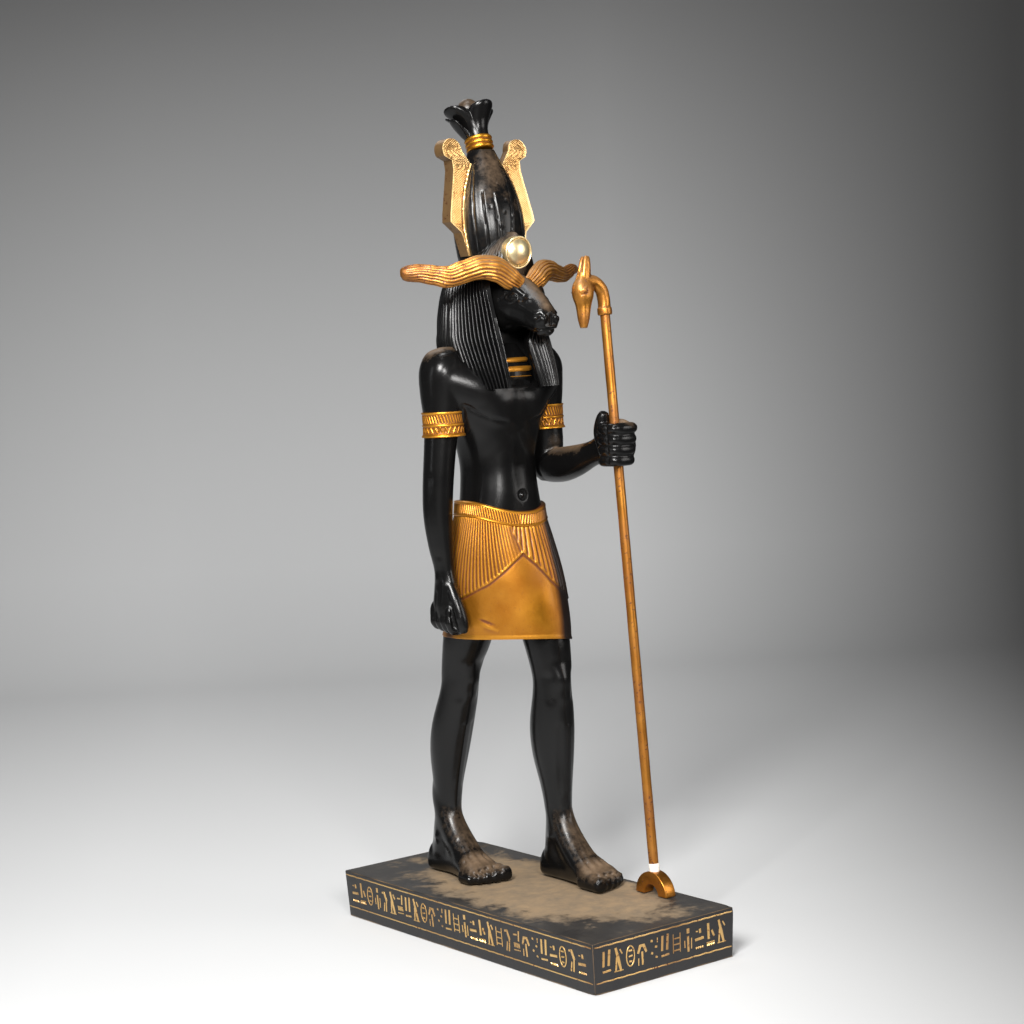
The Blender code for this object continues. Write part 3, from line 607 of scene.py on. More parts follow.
def make_torso():
    """Chest, belly, shoulders and neck, down to the belt and the armbands."""
    arms = [loft(level_rings(curve_through(rows, 4), 40)) for rows in (UPPER_ARM, flipped(UPPER_ARM))]
    shoulders = [loft(ball_rings((side * 15.0, 3.0, 275.0), (17.0, 9.5, 6.5))) for side in (-1, 1)]
    shoulders += [loft(ball_rings((side * 25.0, 4.0, 267.0), (12.0, 10.5, 13.0))) for side in (-1, 1)]
    shoulders += [loft(path_rings(curve_through(rows, 5), 48, (0, 0, 1)))
                  for rows in (PECTORAL, flipped(PECTORAL))]
    bodies = [loft(level_rings(curve_through(TORSO, 4), 72, 2.3)), loft(level_rings(COLLAR_BED, 48, 2.3))]
    piece = melt("torso", bodies + arms + shoulders, 0.72, 26)
    carve(piece, mirrored([
        ([(-28.8, -11, 255), (-23.5, -16, 249), (-16.5, -20.3, 244.4), (-8, -22.3, 242.6)],
         1.2, -0.8),
        ([(-22, -16, 244), (-14, -20.3, 239.4), (-6, -22, 238.4)], 4.2, -0.6),
        ([(-13.5, -22.0, 252.0)], 7.5, 0.7),
        ([(-27.4, -11.4, 253), (-27.0, -10.0, 247), (-26.6, -8.6, 241)], 1.3, -0.6),
        ([(-2.0, -21.8, 237), (-8, -19.6, 231), (-15, -13.6, 225)], 3.0, -0.35),
        ([(-15, 21, 257)], 7.0, 0.9),
        ([(-8, 21, 264), (-9, 22, 252), (-18, 19.6, 247)], 2.0, -0.8),
        ([(-7, 19.6, 214)], 3.4, -0.5),
        ([(-38, -7, 271)], 5.0, 0.5),
        ([(-22, -13, 276), (-12, -16, 278)], 2.2, 0.4),
    ]) + [
        ([(0, -22.6, 262), (-0.5, -22.6, 250), (0, -21.4, 243)], 2.8, -0.35),
        ([(0, -20.6, 238), (0.3, -19.4, 222), (0.4, -20.2, 212)], 3.0, -0.10),
        ([(0, 19, 270), (0, 20.4, 246), (0, 18.4, 222), (0, 19.6, 204)], 2.2, -1.3),
        ([(0.5, -20.4, 204.4)], 7.0, 0.3),
        ([(0.6 + 1.7 * math.cos(t), -20.6, 204.4 + 1.7 * math.sin(t)) for t in full_turn(9)],
         0.9, -1.1),
        ([(0.6, -20.6, 204.4)], 0.9, 1.3),
    ])
    mark_hollows(piece)
    mark_dust(piece, (([(-35, 2, 283), (-22, 0, 284)], 9.0, 0.95), ([(35, 2, 283), (24, 0, 284)], 9.0, 0.9),
                      ([(0, -24, 264)], 8.0, 0.5), ([(0, 12, 284)], 16.0, 0.5)))
    finish_black(piece)


# Arms

RIGHT_FOREARM = (
    (-32.9, 0.0, 245.0, 9.2, 9.6), (-35.0, 0.4, 231.0, 8.2, 8.8), (-36.9, 1.4, 212.0, 7.8, 8.4),
    (-37.2, 2.6, 196.0, 7.4, 7.9), (-35.9, 3.4, 180.0, 6.2, 6.9), (-34.6, 3.4, 168.0, 4.8, 6.0),
    (-34.2, 3.2, 158.0, 5.2, 8.0), (-34.2, 3.4, 150.0, 5.8, 9.0), (-33.8, 3.2, 143.0, 5.4, 8.6),
    (-33.2, 3.2, 139.0, 3.4, 6.4),
)
LEFT_UPPER = (
    (32.6, 0.0, 245.0, 9.4, 10.0), (33.2, 0.2, 231.0, 9.4, 9.8), (33.0, -0.2, 222.0, 8.8, 9.3),
    (33.2, -1.6, 213.5, 8.2, 9.0), (33.2, -2.4, 209.0, 4.6, 5.4),
)
LEFT_FOREARM = (
    (33.2, 4.2, 217.0, 4.5, 4.5), (33.2, 0.0, 217.0, 7.8, 8.4), (32.6, -14.0, 217.6, 8.5, 9.2),
    (31.4, -28.0, 220.0, 7.4, 8.2), (30.4, -42.0, 223.6, 5.7, 6.6), (30.0, -52.0, 226.5, 5.6, 7.4),
    (30.2, -59.5, 229.0, 6.4, 10.2), (30.6, -66.5, 230.5, 6.4, 11.2), (30.2, -72.0, 231.0, 4.6, 9.6),
)


def curled_finger(middle, across, along, thick, axis):
    """One curled finger: a thick disc with a round rim, its axis along Y or Z."""
    rings = []
    for share, swell in ((-1.0, 0.80), (-0.75, 0.93), (-0.3, 1.0), (0.3, 1.0), (0.75, 0.93), (1.0, 0.80)):
        turn = turns(40)
        first = across * swell * squared(np.cos(turn), 2.7)
        second = along * swell * squared(np.sin(turn), 2.7)
        shift = np.full(40, thick * share)
        parts = (first, second, shift) if axis == "Z" else (first, shift, second)
        rings.append(np.array(middle) + np.stack(parts, 1))
    return loft(rings)


def make_right_arm():
    """The arm that hangs: forearm and a closed fist with the thumb in front."""
    bodies = [loft(level_rings(curve_through(RIGHT_FOREARM, 4), 40))]
    for number in range(4):
        middle = (-33.4 - 0.1 * number, -3.2 + 4.5 * number, 143.0 + 0.5 * number)
        bodies.append(curled_finger(middle, 6.2 - 0.1 * number, 8.6 - 0.2 * number, 2.35, "Y"))
    thumb = ((-34.8, -1.4, 160.0, 3.0, 3.0), (-34.4, -4.6, 153.0, 3.5, 3.3), (-33.6, -7.0, 146.0, 3.6, 3.2),
             (-32.8, -8.0, 139.6, 3.2, 2.8), (-32.6, -7.6, 135.6, 2.2, 1.9))
    bodies.append(loft(path_rings(curve_through(thumb, 4), 24, (1, 0, 0))))
    piece = melt("right_arm", bodies, 0.5, 5)
    strokes = [([(-40.4, y, 142), (-38.8, y, 136.6), (-34, y, 134.0), (-28, y, 136)], 0.7, -0.85)
               for y in (-1.0, 3.5, 8.0)]
    strokes += [([(-39.4, y, 141.0)], 1.9, 0.55) for y in (-3.0, 1.4, 5.9, 10.2)]
    strokes += [
        ([(-37.0, -5.0, 150), (-37.6, -5.2, 145), (-36.6, -5.6, 139)], 1.1, -1.3),
        ([(-37.4, -4.8, 144.9)], 1.7, -1.0),
        ([(-35.4, -8.2, 143.6)], 1.2, 0.5),
        ([(-38.2, -0.6, 160), (-39.2, 0.6, 150), (-38.4, 1.4, 144)], 2.0, 0.55),
        ([(-38.6, 5.0, 156), (-39.0, 5.6, 147)], 1.4, -0.35),
        ([(-28.0, -11.0, 140), (-30.4, -11.8, 138.6)], 0.5, -0.35),
        ([(-35.2, 10.6, 213)], 3.2, 0.7),
        ([(-43, -1.5, 216), (-43, -1.0, 196), (-40, 0.5, 176)], 2.2, -0.45),
        ([(-39.6, 4.0, 164)], 2.2, 0.5),
    ]
    carve(piece, strokes)
    mark_hollows(piece)
    mark_dust(piece, (([(-30, -6, 152)], 4.0, 0.4),))
    finish_black(piece)


def make_left_arm():
    """The bent arm: elbow, forearm and the fist round the rod."""
    bodies = [loft(level_rings(curve_through(LEFT_UPPER, 4), 40)),
              loft(path_rings(curve_through(LEFT_FOREARM, 4), 40, (1, 0, 0)))]
    x, y, z = FIST
    for number in range(4):
        middle = (x - 0.4, y - 1.2 + 0.45 * number, z + 6.0 - 5.4 * number)
        bodies.append(curled_finger(middle, 9.0 - 0.15 * number, 9.4 - 0.4 * number, 2.8, "Z"))
    thumb = ((x - 1.0, y + 8.0, z - 4.0, 4.0, 4.2), (x - 3.0, y + 7.4, z + 4.0, 4.4, 4.2),
             (x - 4.2, y + 4.6, z + 11.0, 3.7, 3.4), (x - 4.4, y + 3.0, z + 14.4, 2.2, 2.2))
    bodies.append(loft(path_rings(curve_through(thumb, 4), 24, (1, 0, 0))))
    piece = melt("left_arm", bodies, 0.5, 5)
    strokes = []
    for number in range(3):
        level = z + 3.3 - 5.4 * number
        around = [(x - 9.6, y - 3.5, level), (x - 8.6, y - 8.4, level), (x - 2, y - 11, level),
                  (x + 4, y - 10.6, level), (x + 9, y - 7, level), (x + 9.4, y, level)]
        strokes.append((around, 0.65, -0.9))
    for number in range(4):
        level = z + 6.0 - 5.4 * number
        strokes.append(([(x - 8.2, y - 7.6, level)], 1.5, 0.7))
        strokes.append(([(x + 6.6, y - 9.0, level)], 2.4, 0.6))
        strokes.append(([(x + 9.6, y - 0.5, level)], 2.2, 0.4))
    strokes += [
        ([(x - 9.4, y - 3.2, z + 9), (x - 9.0, y - 3.4, z - 12)], 0.8, -1.0),
        ([(x - 1.0, y - 1.0, z + 9.4), (x - 5.6, y - 2.4, z + 9.0)], 1.6, -0.7),
        ([(x - 7.8, y + 1.6, z + 13.4), (x - 8.4, y + 2.6, z + 9.6)], 1.3, 0.4),
        ([(x - 3.6, y + 0.2, z + 13.0), (x - 1.0, y + 1.4, z + 6.0)], 0.8, -0.8),
        ([(33.2, 11.0, 220.0)], 3.6, 0.7),
        ([(27.0, -9.0, 226.0), (39.0, -9.0, 226.0)], 1.6, -0.6),
        ([(24.4, -12, 219), (24.6, -30, 221)], 2.4, -0.35),
        ([(30.0, -48.5, 233.4)], 2.4, 0.3),
    ]
    carve(piece, strokes)
    mark_hollows(piece)
    mark_dust(piece, (([(33, -14, 227), (31.6, -34, 228.6)], 8.0, 1.0),
                      ([(x + 2, y - 4, z + 9.5)], 7.0, 1.0),
                      ([(30.4, -48, 231)], 6.0, 0.6), ([(33, -4, 226)], 5.0, 0.7)))
    finish_black(piece)


# Legs and feet

RIGHT_LEG = (
    (-12.6, 11.0, 152.0, 12.7, 13.7), (-13.0, 13.0, 142.0, 13.0, 14.0), (-13.0, 16.8, 128.0, 13.0, 13.2),
    (-13.8, 22.6, 112.0, 10.6, 10.9), (-13.8, 24.8, 102.0, 10.2, 10.8), (-14.4, 32.4, 82.0, 10.6, 12.7),
    (-14.6, 36.8, 66.0, 9.8, 11.9), (-14.8, 39.6, 48.0, 7.3, 9.5), (-15.0, 40.8, 34.0, 6.6, 8.8),
    (-15.4, 41.4, 22.0, 7.2, 10.0), (-15.6, 42.0, 10.0, 7.6, 10.2),
)
LEFT_LEG = (
    (12.6, -10.5, 152.0, 12.7, 13.7), (13.0, -13.0, 142.0, 13.0, 14.0), (13.4, -17.0, 128.0, 12.2, 12.8),
    (14.0, -19.4, 112.0, 10.6, 11.0), (14.0, -19.6, 102.0, 10.0, 11.0), (14.8, -16.4, 82.0, 10.6, 13.6),
    (15.2, -15.6, 66.0, 9.8, 12.6), (15.8, -16.2, 48.0, 7.2, 9.8), (16.0, -16.6, 34.0, 6.4, 8.6),
    (16.0, -16.4, 22.0, 6.8, 9.6), (16.0, -16.0, 10.0, 7.2, 9.8),
)
FOOT = (
    # distance before the ankle, shift to the outside, half width, height
    (-12.4, 0.4, 4.8, 9.0), (-9.6, 0.4, 7.2, 16.0), (-2.0, 0.2, 7.4, 18.0), (6.0, 0.0, 7.8, 20.0),
    (13.0, 0.2, 8.8, 19.6), (21.0, 0.8, 10.2, 17.2), (29.0, 1.2, 11.9, 12.2), (35.0, 1.2, 11.6, 8.6),
)
INSTEP = (
    # distance before the ankle, height, half width, half depth; from the shin down over the foot
    (-2.0, 50.0, 5.0, 5.6), (-1.0, 42.0, 6.2, 7.6), (1.2, 34.0, 6.8, 8.2), (5.0, 26.0, 7.4, 8.0),
    (11.0, 18.4, 8.2, 7.6), (18.0, 11.8, 8.8, 7.2), (25.0, 7.4, 9.4, 5.6),
)
TOES = (
    # shift to the outside, tip before the ankle, half width, height
    (-7.2, 43.5, 4.1, 8.0), (-1.6, 42.6, 2.8, 7.2), (3.1, 41.2, 2.6, 6.8), (7.4, 39.2, 2.5, 6.4),
    (11.2, 36.4, 2.4, 6.0),
)
TOE_CLEARANCE, TOE_ROOT = 0.35, 26.0


def foot_rings(rows, sides=40):
    """Upright sections, flat below and narrower above: rows of x, y, half width, height, lift."""
    turn = turns(sides)
    rings = []
    for x, y, half, high, lift in rows:
        rise = 0.5 + 0.5 * squared(np.sin(turn), 3.0)
        across = half * squared(np.cos(turn), 2.8) * (1.0 - 0.45 * rise ** 2 * min(high / 20, 1))
        rings.append(np.stack((x + across, np.full(sides, y), high * rise + lift), 1))
    return np.array(rings)


def make_leg(name, rows, side):
    """A leg with its bare foot, its toes and their nails; side is -1 for the right one."""
    x, y = rows[-1][:2]
    foot = [(x + side * shift, y - before, half, high, 0.0) for before, shift, half,
            high in curve_through(FOOT, 3)]
    instep = [(x, y - before, z, half, deep) for before, z, half, deep in INSTEP]
    bodies = [loft(level_rings(curve_through(rows, 4), 44)), loft(foot_rings(foot)),
              loft(path_rings(curve_through(instep, 5), 32, (1, 0, 0)))]
    strokes = []
    for number, (shift, tip, half, high) in enumerate(TOES):
        toe_x = x + side * shift
        rows_along = ((TOE_ROOT, 0.86), (tip - 9.0, 0.98), (tip - 5.0, 0.94), (tip - 1.2, 0.98), (tip, 0.74))
        bodies.append(loft(foot_rings([(toe_x, y - reach, half * share, high * share, TOE_CLEARANCE)
                                       for reach, share in curve_through(rows_along, 3)])))
        bend, end, top = tip - 4.4 - 0.5 * half, tip - 0.4, high * 0.96
        nail = [(toe_x - 0.62 * half, y - end, top - 1.6), (toe_x - 0.60 * half, y - bend, top + 0.1),
                (toe_x, y - bend + 0.7, top + 0.3), (toe_x + 0.60 * half, y - bend, top + 0.1),
                (toe_x + 0.62 * half, y - end, top - 1.6)]
        strokes.append((nail, 0.5, -0.42))
        strokes.append(([(toe_x, y - tip + 8.4, high)], 1.6, 0.3))
        if number < 4:
            between = x + side * (shift + TOES[number + 1][0] + half - TOES[number + 1][2]) / 2
            along = [(between, y - tip + 1.5, 5.0), (between, y - tip + 10, 7.6), (between, y - 27, 12.6)]
            strokes.append((along, 0.75, -0.9))
            strokes.append(([(between, y - 30, 11.0), (x + (between - x) * 0.6, y - 18, 20.5)], 1.5, -0.28))
        strokes.append(([(toe_x, y - 31, 10.6), (x + (toe_x - x) * 0.55, y - 17, 21.5)], 1.4, 0.18))
    levels = [row[2] for row in rows][::-1]
    knee_x = np.interp(104.0, levels, [row[0] for row in rows][::-1]) - side * 0.6
    knee_y = np.interp(104.0, levels, [row[1] - row[4] for row in rows][::-1])
    strokes += [
        ([(knee_x, knee_y, 107.0)], 5.0, 1.2),
        ([(knee_x, knee_y + 0.3, 97.5)], 3.4, 0.6),
        ([(knee_x - 8.0, knee_y + 3.4, 108), (knee_x - 7.0, knee_y + 3.0, 98)], 3.0, -0.8),
        ([(knee_x + 8.0, knee_y + 3.4, 108), (knee_x + 7.0, knee_y + 3.0, 98)], 3.0, -0.8),
        ([(knee_x - 6, knee_y - 1.0, 116.5), (knee_x + 6, knee_y - 1.0, 116.5)], 3.2, -0.6),
        ([(row[0] + side * 1.0, row[1] - row[4], row[2]) for row in rows[5:9]], 1.5, 0.45),
        ([(row[0] - side * 4.4, row[1] - row[4] + 1.4, row[2]) for row in rows[5:8]], 2.0, -0.4),
        ([(x, rows[5][1] + rows[5][4], 88), (x, rows[6][1] + rows[6][4], 64)], 1.8, -0.5),
        ([(x - 6.6, y + 6.4, 34), (x - 7.4, y + 5.6, 18)], 2.6, -0.5),
        ([(x + 6.6, y + 6.4, 34), (x + 7.4, y + 5.6, 18)], 2.6, -0.5),
        ([(x + side * 7.6, y - 0.4, 20.0)], 2.6, 1.1),
        ([(x - side * 7.6, y - 1.4, 23.0)], 2.6, 1.0),
    ]
    piece = melt(name, bodies, 0.56, 22)
    ankle = distance_to_line(units_of(piece), [(x, y - 1, 30), (x, y - 13, 15)])
    blend = piece.vertex_groups.new(name="ankle")
    for share in (0.25, 0.5, 0.75, 1.0):
        inside = np.flatnonzero(np.ceil(np.clip((19 - ankle) / 8, 0, 1) * 4) == share * 4)
        blend.add(inside.tolist(), share, "REPLACE")
    add_modifier(piece, "SMOOTH", factor=0.5, iterations=110, vertex_group="ankle")
    carve(piece, strokes)
    mark_hollows(piece)
    mark_dust(piece, (([(x + 5, y - 8, 36), (x + 6, y - 22, 19)], 6.0, 0.8),
                      ([(x, y - 7, 31), (x, y - 22, 18)], 12.0, 0.5),
                      ([(x - side * 5, y - 31, 11), (x + side * 6, y - 31, 11)], 8.0, 0.95),
                      ([(x - side * 6, y - 38, 8), (x + side * 7, y - 36, 8)], 6.0, 0.9)))
    finish_black(piece)


# Kilt, belt, armbands and collar

KILT = (
    # z at the right hip, half width, half depth, shear, share of the belt's dip
    (131.0, 27.4, 27.8, 0.42, 0.0), (141.0, 28.2, 28.2, 0.36, 0.1), (153.0, 28.6, 27.8, 0.28, 0.3),
    (166.0, 28.2, 26.8, 0.20, 0.5), (181.0, 26.8, 24.6, 0.09, 0.8), (197.0, 23.8, 21.6, 0.00, 1.0),
)
# The two folded edges of the apron, as degrees round the kilt and height at the front.
FOLD_RIGHT = ((247.0, 192.0), (261.5, 175.5), (274.5, 169.0), (290.0, 160.0), (306.0, 153.5), (330.0, 148.0),
              (360.0, 146.0))
FOLD_LEFT = ((180.0, 150.5), (197.0, 154.0), (225.0, 161.0), (240.5, 167.0), (261.5, 175.5))
KILT_COLUMNS, KILT_ROWS = 640, 104
DRESS_POWER = 2.15
HIPS_BACK = -1.0


def dress_point_rows(rows, sides):
    """Rings of the kilt or belt: rows of z, half width, half depth, shear, share of the belt's dip."""
    turn = turns(sides)
    across, along = squared(np.cos(turn), DRESS_POWER), squared(np.sin(turn), DRESS_POWER)
    leftward = 0.5 + 0.5 * np.cos(turn)
    front = np.maximum(-np.sin(turn), 0.0) ** BELT_DIP_POWER
    rings = []
    for z, half_width, half_depth, shear, dip in rows:
        x = half_width * across
        y = HIPS_BACK + half_depth * along - shear * x
        hem = HEM_DROP * leftward ** HEM_DROP_POWER
        fall = dip * (BELT_DIP * front + BELT_TILT * leftward) + (1 - dip) * hem
        rings.append(np.stack((x, y, z - fall), 1))
    return np.array(rings)


def fold_line(points):
    """The folded edge as places in space on the kilt's face."""
    table = curve_through(KILT, 8)
    found = []
    for degrees, height in points:
        turn = math.radians(degrees)
        half_width, half_depth, shear = row_at(table, height + 4.0)[1:4]
        across = half_width * squared(math.cos(turn), DRESS_POWER)
        along = half_depth * squared(math.sin(turn), DRESS_POWER)
        found.append((across, HIPS_BACK + along - shear * across, height))
    return found


def pleat_heights(rings):
    """Fans of fine pleats above the folded edges, and a smooth apron below them."""
    degrees = np.degrees(turns(rings.shape[1]))[None, :] * np.ones((rings.shape[0], 1))
    z = rings[:, :, 2]
    right, left = [np.interp(degrees, *zip(*fold)) for fold in (FOLD_RIGHT, FOLD_LEFT)]
    back = np.interp(degrees, (0.0, 30.0, 150.0, 180.0), (146.0, 149.0, 150.0, 150.5))
    depth = (194.0 - z) / 40.0
    in_right = (degrees > 247.0) & (z > right)
    in_left = (degrees >= 180.0) & (degrees < 261.5) & ~in_right & (z > left)
    in_back = (degrees < 180.0) & (z > back)
    ridge = np.zeros_like(z)
    for inside, phase in ((in_right, (degrees - 281.0) / (5.0 * (1 + 0.28 * depth))),
                          (in_left, (degrees - 188.0) / (3.3 * (1 + 0.34 * depth))),
                          (in_back, degrees / 5.0)):
        ridge = np.where(inside, np.abs(np.cos(np.pi * phase)), ridge)
    fade = np.where(in_left, np.clip((252.0 - degrees) / 22.0, 0.16, 1.0), 1.0)
    flat = ~(in_right | in_left | in_back)
    return np.where(flat, -0.25, relief("pleats") * fade * (ridge - 0.62))


def make_kilt():
    """The gilded kilt: pleat fans, two folded edges, a smooth apron, a thin hem and a closed inside."""
    table = curve_through(KILT, 24)
    rows = [row_at(table, z) for z in np.linspace(131.0, 197.0, KILT_ROWS)]
    rings = dress_point_rows(rows, KILT_COLUMNS)
    hem = np.exp(-((np.arange(KILT_ROWS) - 1.0) / 1.3) ** 2)[:, None] * 0.35
    shaped = pull(rings, pleat_heights(rings) + hem)
    inside = [dress_point_rows([(131.3, 26.0, 26.4, 0.42, 0.0)], KILT_COLUMNS),
              dress_point_rows([(136.5, 25.6, 26.0, 0.38, 0.0)], KILT_COLUMNS)]
    top = dress_point_rows([(197.4, 20.0, 18.0, 0.0, 1.0)], KILT_COLUMNS)
    piece = piece_from("kilt", [loft(np.concatenate((inside[1], inside[0], shaped, top)))])
    right, left = fold_line(FOLD_RIGHT), fold_line(FOLD_LEFT)
    lower = [(x, y, z - 1.1) for x, y, z in left]
    beside = [(x - 0.9, y, z - 0.9) for x, y, z in right[1:]]
    crumples = [([(-25, -9, 142), (-18, -15, 139)], 0.8, -0.3),
                ([(-24, -10, 139), (-17, -16, 136)], 0.7, 0.3),
                ([(4, -27.5, 148)], 7.0, 0.35), ([(-16, -20, 150)], 8.0, -0.3)]
    carve(piece, [(right, 0.45, 0.42), (left, 0.45, 0.42), (lower, 0.6, -0.15),
                  (beside, 0.6, -0.15)] + crumples)
    mark_hollows(piece, 0.22, 10)
    points = units_of(piece)
    # Painted shade: the gold darkens to black towards the kilt's left side, away from the light.
    side = np.clip((points[:, 0] - 1.5) / 14.0, 0, 1) * np.clip((14.0 - points[:, 1]) / 10.0, 0, 1)
    front = points[:, 1] < 0
    centre = 0.75 * front * np.exp(-((points[:, 0] + 7.0) / 7.0) ** 2 - ((points[:, 2] - 182.0) / 17.0) ** 2)
    # Painted shadow of the right arm on the kilt's right side.
    hip = 0.92 * (points[:, 0] < -16.0) * np.exp(-((points[:, 1] - 13.0) / 8.0) ** 2)
    below = 0.7 * front * np.exp(-((points[:, 0] - 2.0) / 10.0) ** 2 - ((points[:, 2] - 163.0) / 10.0) ** 2)
    # Painted highlight: less brown on the lower front of the apron, where the gold shines.
    bright = front * np.exp(-((points[:, 0] - 3.0) / 9.0) ** 2 - ((points[:, 2] - 144.0) / 9.0) ** 2)
    mark(piece, "patina", np.clip(np.maximum.reduce((side, centre, hip, below, 0.42 - 0.42 * bright)), 0, 1))
    finish_gilt(piece)


def make_belt():
    """The belt: two bright borders and slanted ticks between them, dipping in front."""
    columns, levels = 720, 22
    share = np.linspace(0.0, 1.0, levels)
    rows = [(195.0 + 7.6 * s, 24.5 - 0.9 * s, 22.3 - 0.8 * s, 0.0, 1.0) for s in share]
    rings = dress_point_rows(rows, columns)
    degrees = np.degrees(turns(columns))[None, :]
    middle = share[:, None]
    border = 0.55 * (np.exp(-((middle - 0.06) / 0.07) ** 2) + np.exp(-((middle - 0.93) / 0.07) ** 2))
    lean = np.where(degrees < 262, 1.0, -1.0)
    phase = degrees / 3.6 + lean * (middle - 0.5) * 1.1
    tick = relief("ticks") * np.clip(np.abs(np.cos(np.pi * phase)) * 1.5 - 0.75, -0.4, 0.6)
    tick = tick * ((middle > 0.18) & (middle < 0.82))
    shaped = pull(rings, border + tick)
    low = dress_point_rows([(193.4, 20.0, 18.0, 0.0, 1.0), (194.6, 23.6, 21.4, 0.0, 1.0)], columns)
    high = dress_point_rows([(202.9, 22.4, 20.4, 0.0, 1.0), (202.0, 18.0, 16.0, 0.0, 1.0)], columns)
    piece = piece_from("belt", [loft(np.concatenate((low, shaped, high)))])
    mark_hollows(piece, 0.2, 8)
    points = units_of(piece)
    # Painted shade: the gold browns and darkens towards the belt's left side, away from the light.
    mark(piece, "patina", np.clip((points[:, 0] + 2.0) / 20.0, 0.25, 0.95))
    finish_gilt(piece)


def make_armband(name, x):
    """A band with a flared lip, three beads, a row of slanted strokes and a row of zigzags."""
    columns, levels = 300, 54
    share = np.linspace(0.0, 1.0, levels)[:, None]
    degrees = np.degrees(turns(columns))[None, :]

    def bead(at, width):
        """A rounded ridge at a share of the band's height."""
        return np.exp(-((share - at) / width) ** 2)
    radius = 10.25 + 1.0 * bead(0.03, 0.09) + 0.55 * bead(0.47, 0.05) + 0.65 * bead(0.96, 0.06)
    upper = (share > 0.55) & (share < 0.88)
    lower = (share > 0.14) & (share < 0.41)
    strokes = np.clip(np.abs(np.cos(np.pi * (degrees / 9.0 + share * 2.2))) * 2.4 - 1.5, -0.3, 0.8)
    zigzag = np.abs((degrees / 15.0) % 1.0 * 2 - 1)
    teeth = np.clip(0.9 - np.abs((share - 0.16) / 0.24 - zigzag) * 3.4, -0.3, 0.9)
    radius = radius + relief("band_strokes") * (strokes * upper + teeth * lower)
    turn = turns(columns)[None, :]
    z = np.broadcast_to(ARMBAND_LOW + (ARMBAND_HIGH - ARMBAND_LOW) * share, radius.shape)
    rings = np.stack((x + radius * np.cos(turn), (radius + 0.4) * np.sin(turn), z), 2)
    ends = [level_rings([(x, 0.0, level, 6.0, 6.0)], columns)
            for level in (ARMBAND_LOW + 0.6, ARMBAND_HIGH - 0.6)]
    piece = piece_from(name, [loft(np.concatenate((ends[0], rings, ends[1])))])
    mark_hollows(piece, 0.22, 8)
    points = units_of(piece)
    # Painted shade: each band browns towards its left side, away from the light.
    mark(piece, "patina", np.clip(0.25 + 0.06 * (points[:, 0] - x), 0.2, 0.9))
    finish_gilt(piece)


def make_collar():
    """Three gilded lines of the collar that show between the wig's lappets."""
    bodies = []
    for z, half, reach, tall in ((274.0, 12.6, 17.8, 1.3), (269.4, 15.0, 18.7, 1.6),
                                 (265.6, 15.8, 18.6, 0.4)):
        profile = ((-tall, -1.6), (-tall * 0.8, -0.3), (-tall * 0.3, 0.2), (tall * 0.4, 0.1),
                   (tall * 0.85, -0.4),
                   (tall, -1.6))
        rows = [(0, -6.5, z + lift, half + out, reach + out - 0.25 * lift) for lift, out in profile]
        bodies.append(loft(level_rings(rows, 120, 2.2)))
    piece = piece_from("collar_bands", bodies)
    mark_hollows(piece, 0.3, 4)
    mark(piece, "patina", np.full(len(piece.data.vertices), 0.5))
    finish_gilt(piece)


# Head, wig and hair

HEAD = (
    # y, z, half width, half height, along the head from the back of the skull to the lips
    (2.0, 306.0, 9.0, 9.0), (-10.0, 305.0, 12.5, 14.5), (-20.0, 304.0, 12.6, 15.5),
    (-28.0, 303.4, 11.2, 13.4),
    (-34.5, 301.6, 9.9, 12.0), (-41.0, 298.2, 8.4, 10.8), (-46.2, 295.2, 7.5, 9.2), (-50.0, 293.2, 6.6, 7.2),
    (-52.2, 292.8, 4.4, 4.6),
)
WIG = (
    # z, edges in x at its right and left, front's y, back's y, edges of the face opening, its inner y
    (259.8, -20.4, 27.2, -32.6, 19.0, -10.5, 6.2, -22.0),
    (270.0, -24.8, 28.2, -31.2, 22.0, -11.4, 4.0, -20.0),
    (283.0, -27.2, 28.0, -28.7, 23.5, -12.1, 2.4, -15.0),
    (290.0, -26.8, 26.8, -27.2, 23.6, -12.4, 7.0, -14.0),
    (299.0, -25.6, 25.6, -25.6, 23.4, -13.0, 12.0, -14.0),
    (311.0, -23.2, 23.2, -23.8, 21.0, -13.6, 13.8, -16.0),
    (320.0, -19.0, 19.0, -21.0, 17.0, -11.0, 11.0, -14.0),
    (328.0, -11.0, 11.0, -16.0, 10.0, -5.0, 5.0, -10.0),
)
WIG_COLUMNS = 744


def head_rings(rows, sides=56):
    """Sections along the head, narrower above: rows of y, z, half width, half height."""
    turn = turns(sides)
    rings = []
    for y, z, half, high in rows:
        pinch = 1.0 - 0.16 * np.maximum(np.sin(turn), 0)
        rings.append(np.stack((half * np.cos(turn) * pinch, y - 0.10 * high * np.sin(turn),
                               z + high * squared(np.sin(turn), 2.3)), 1))
    return np.array(rings)


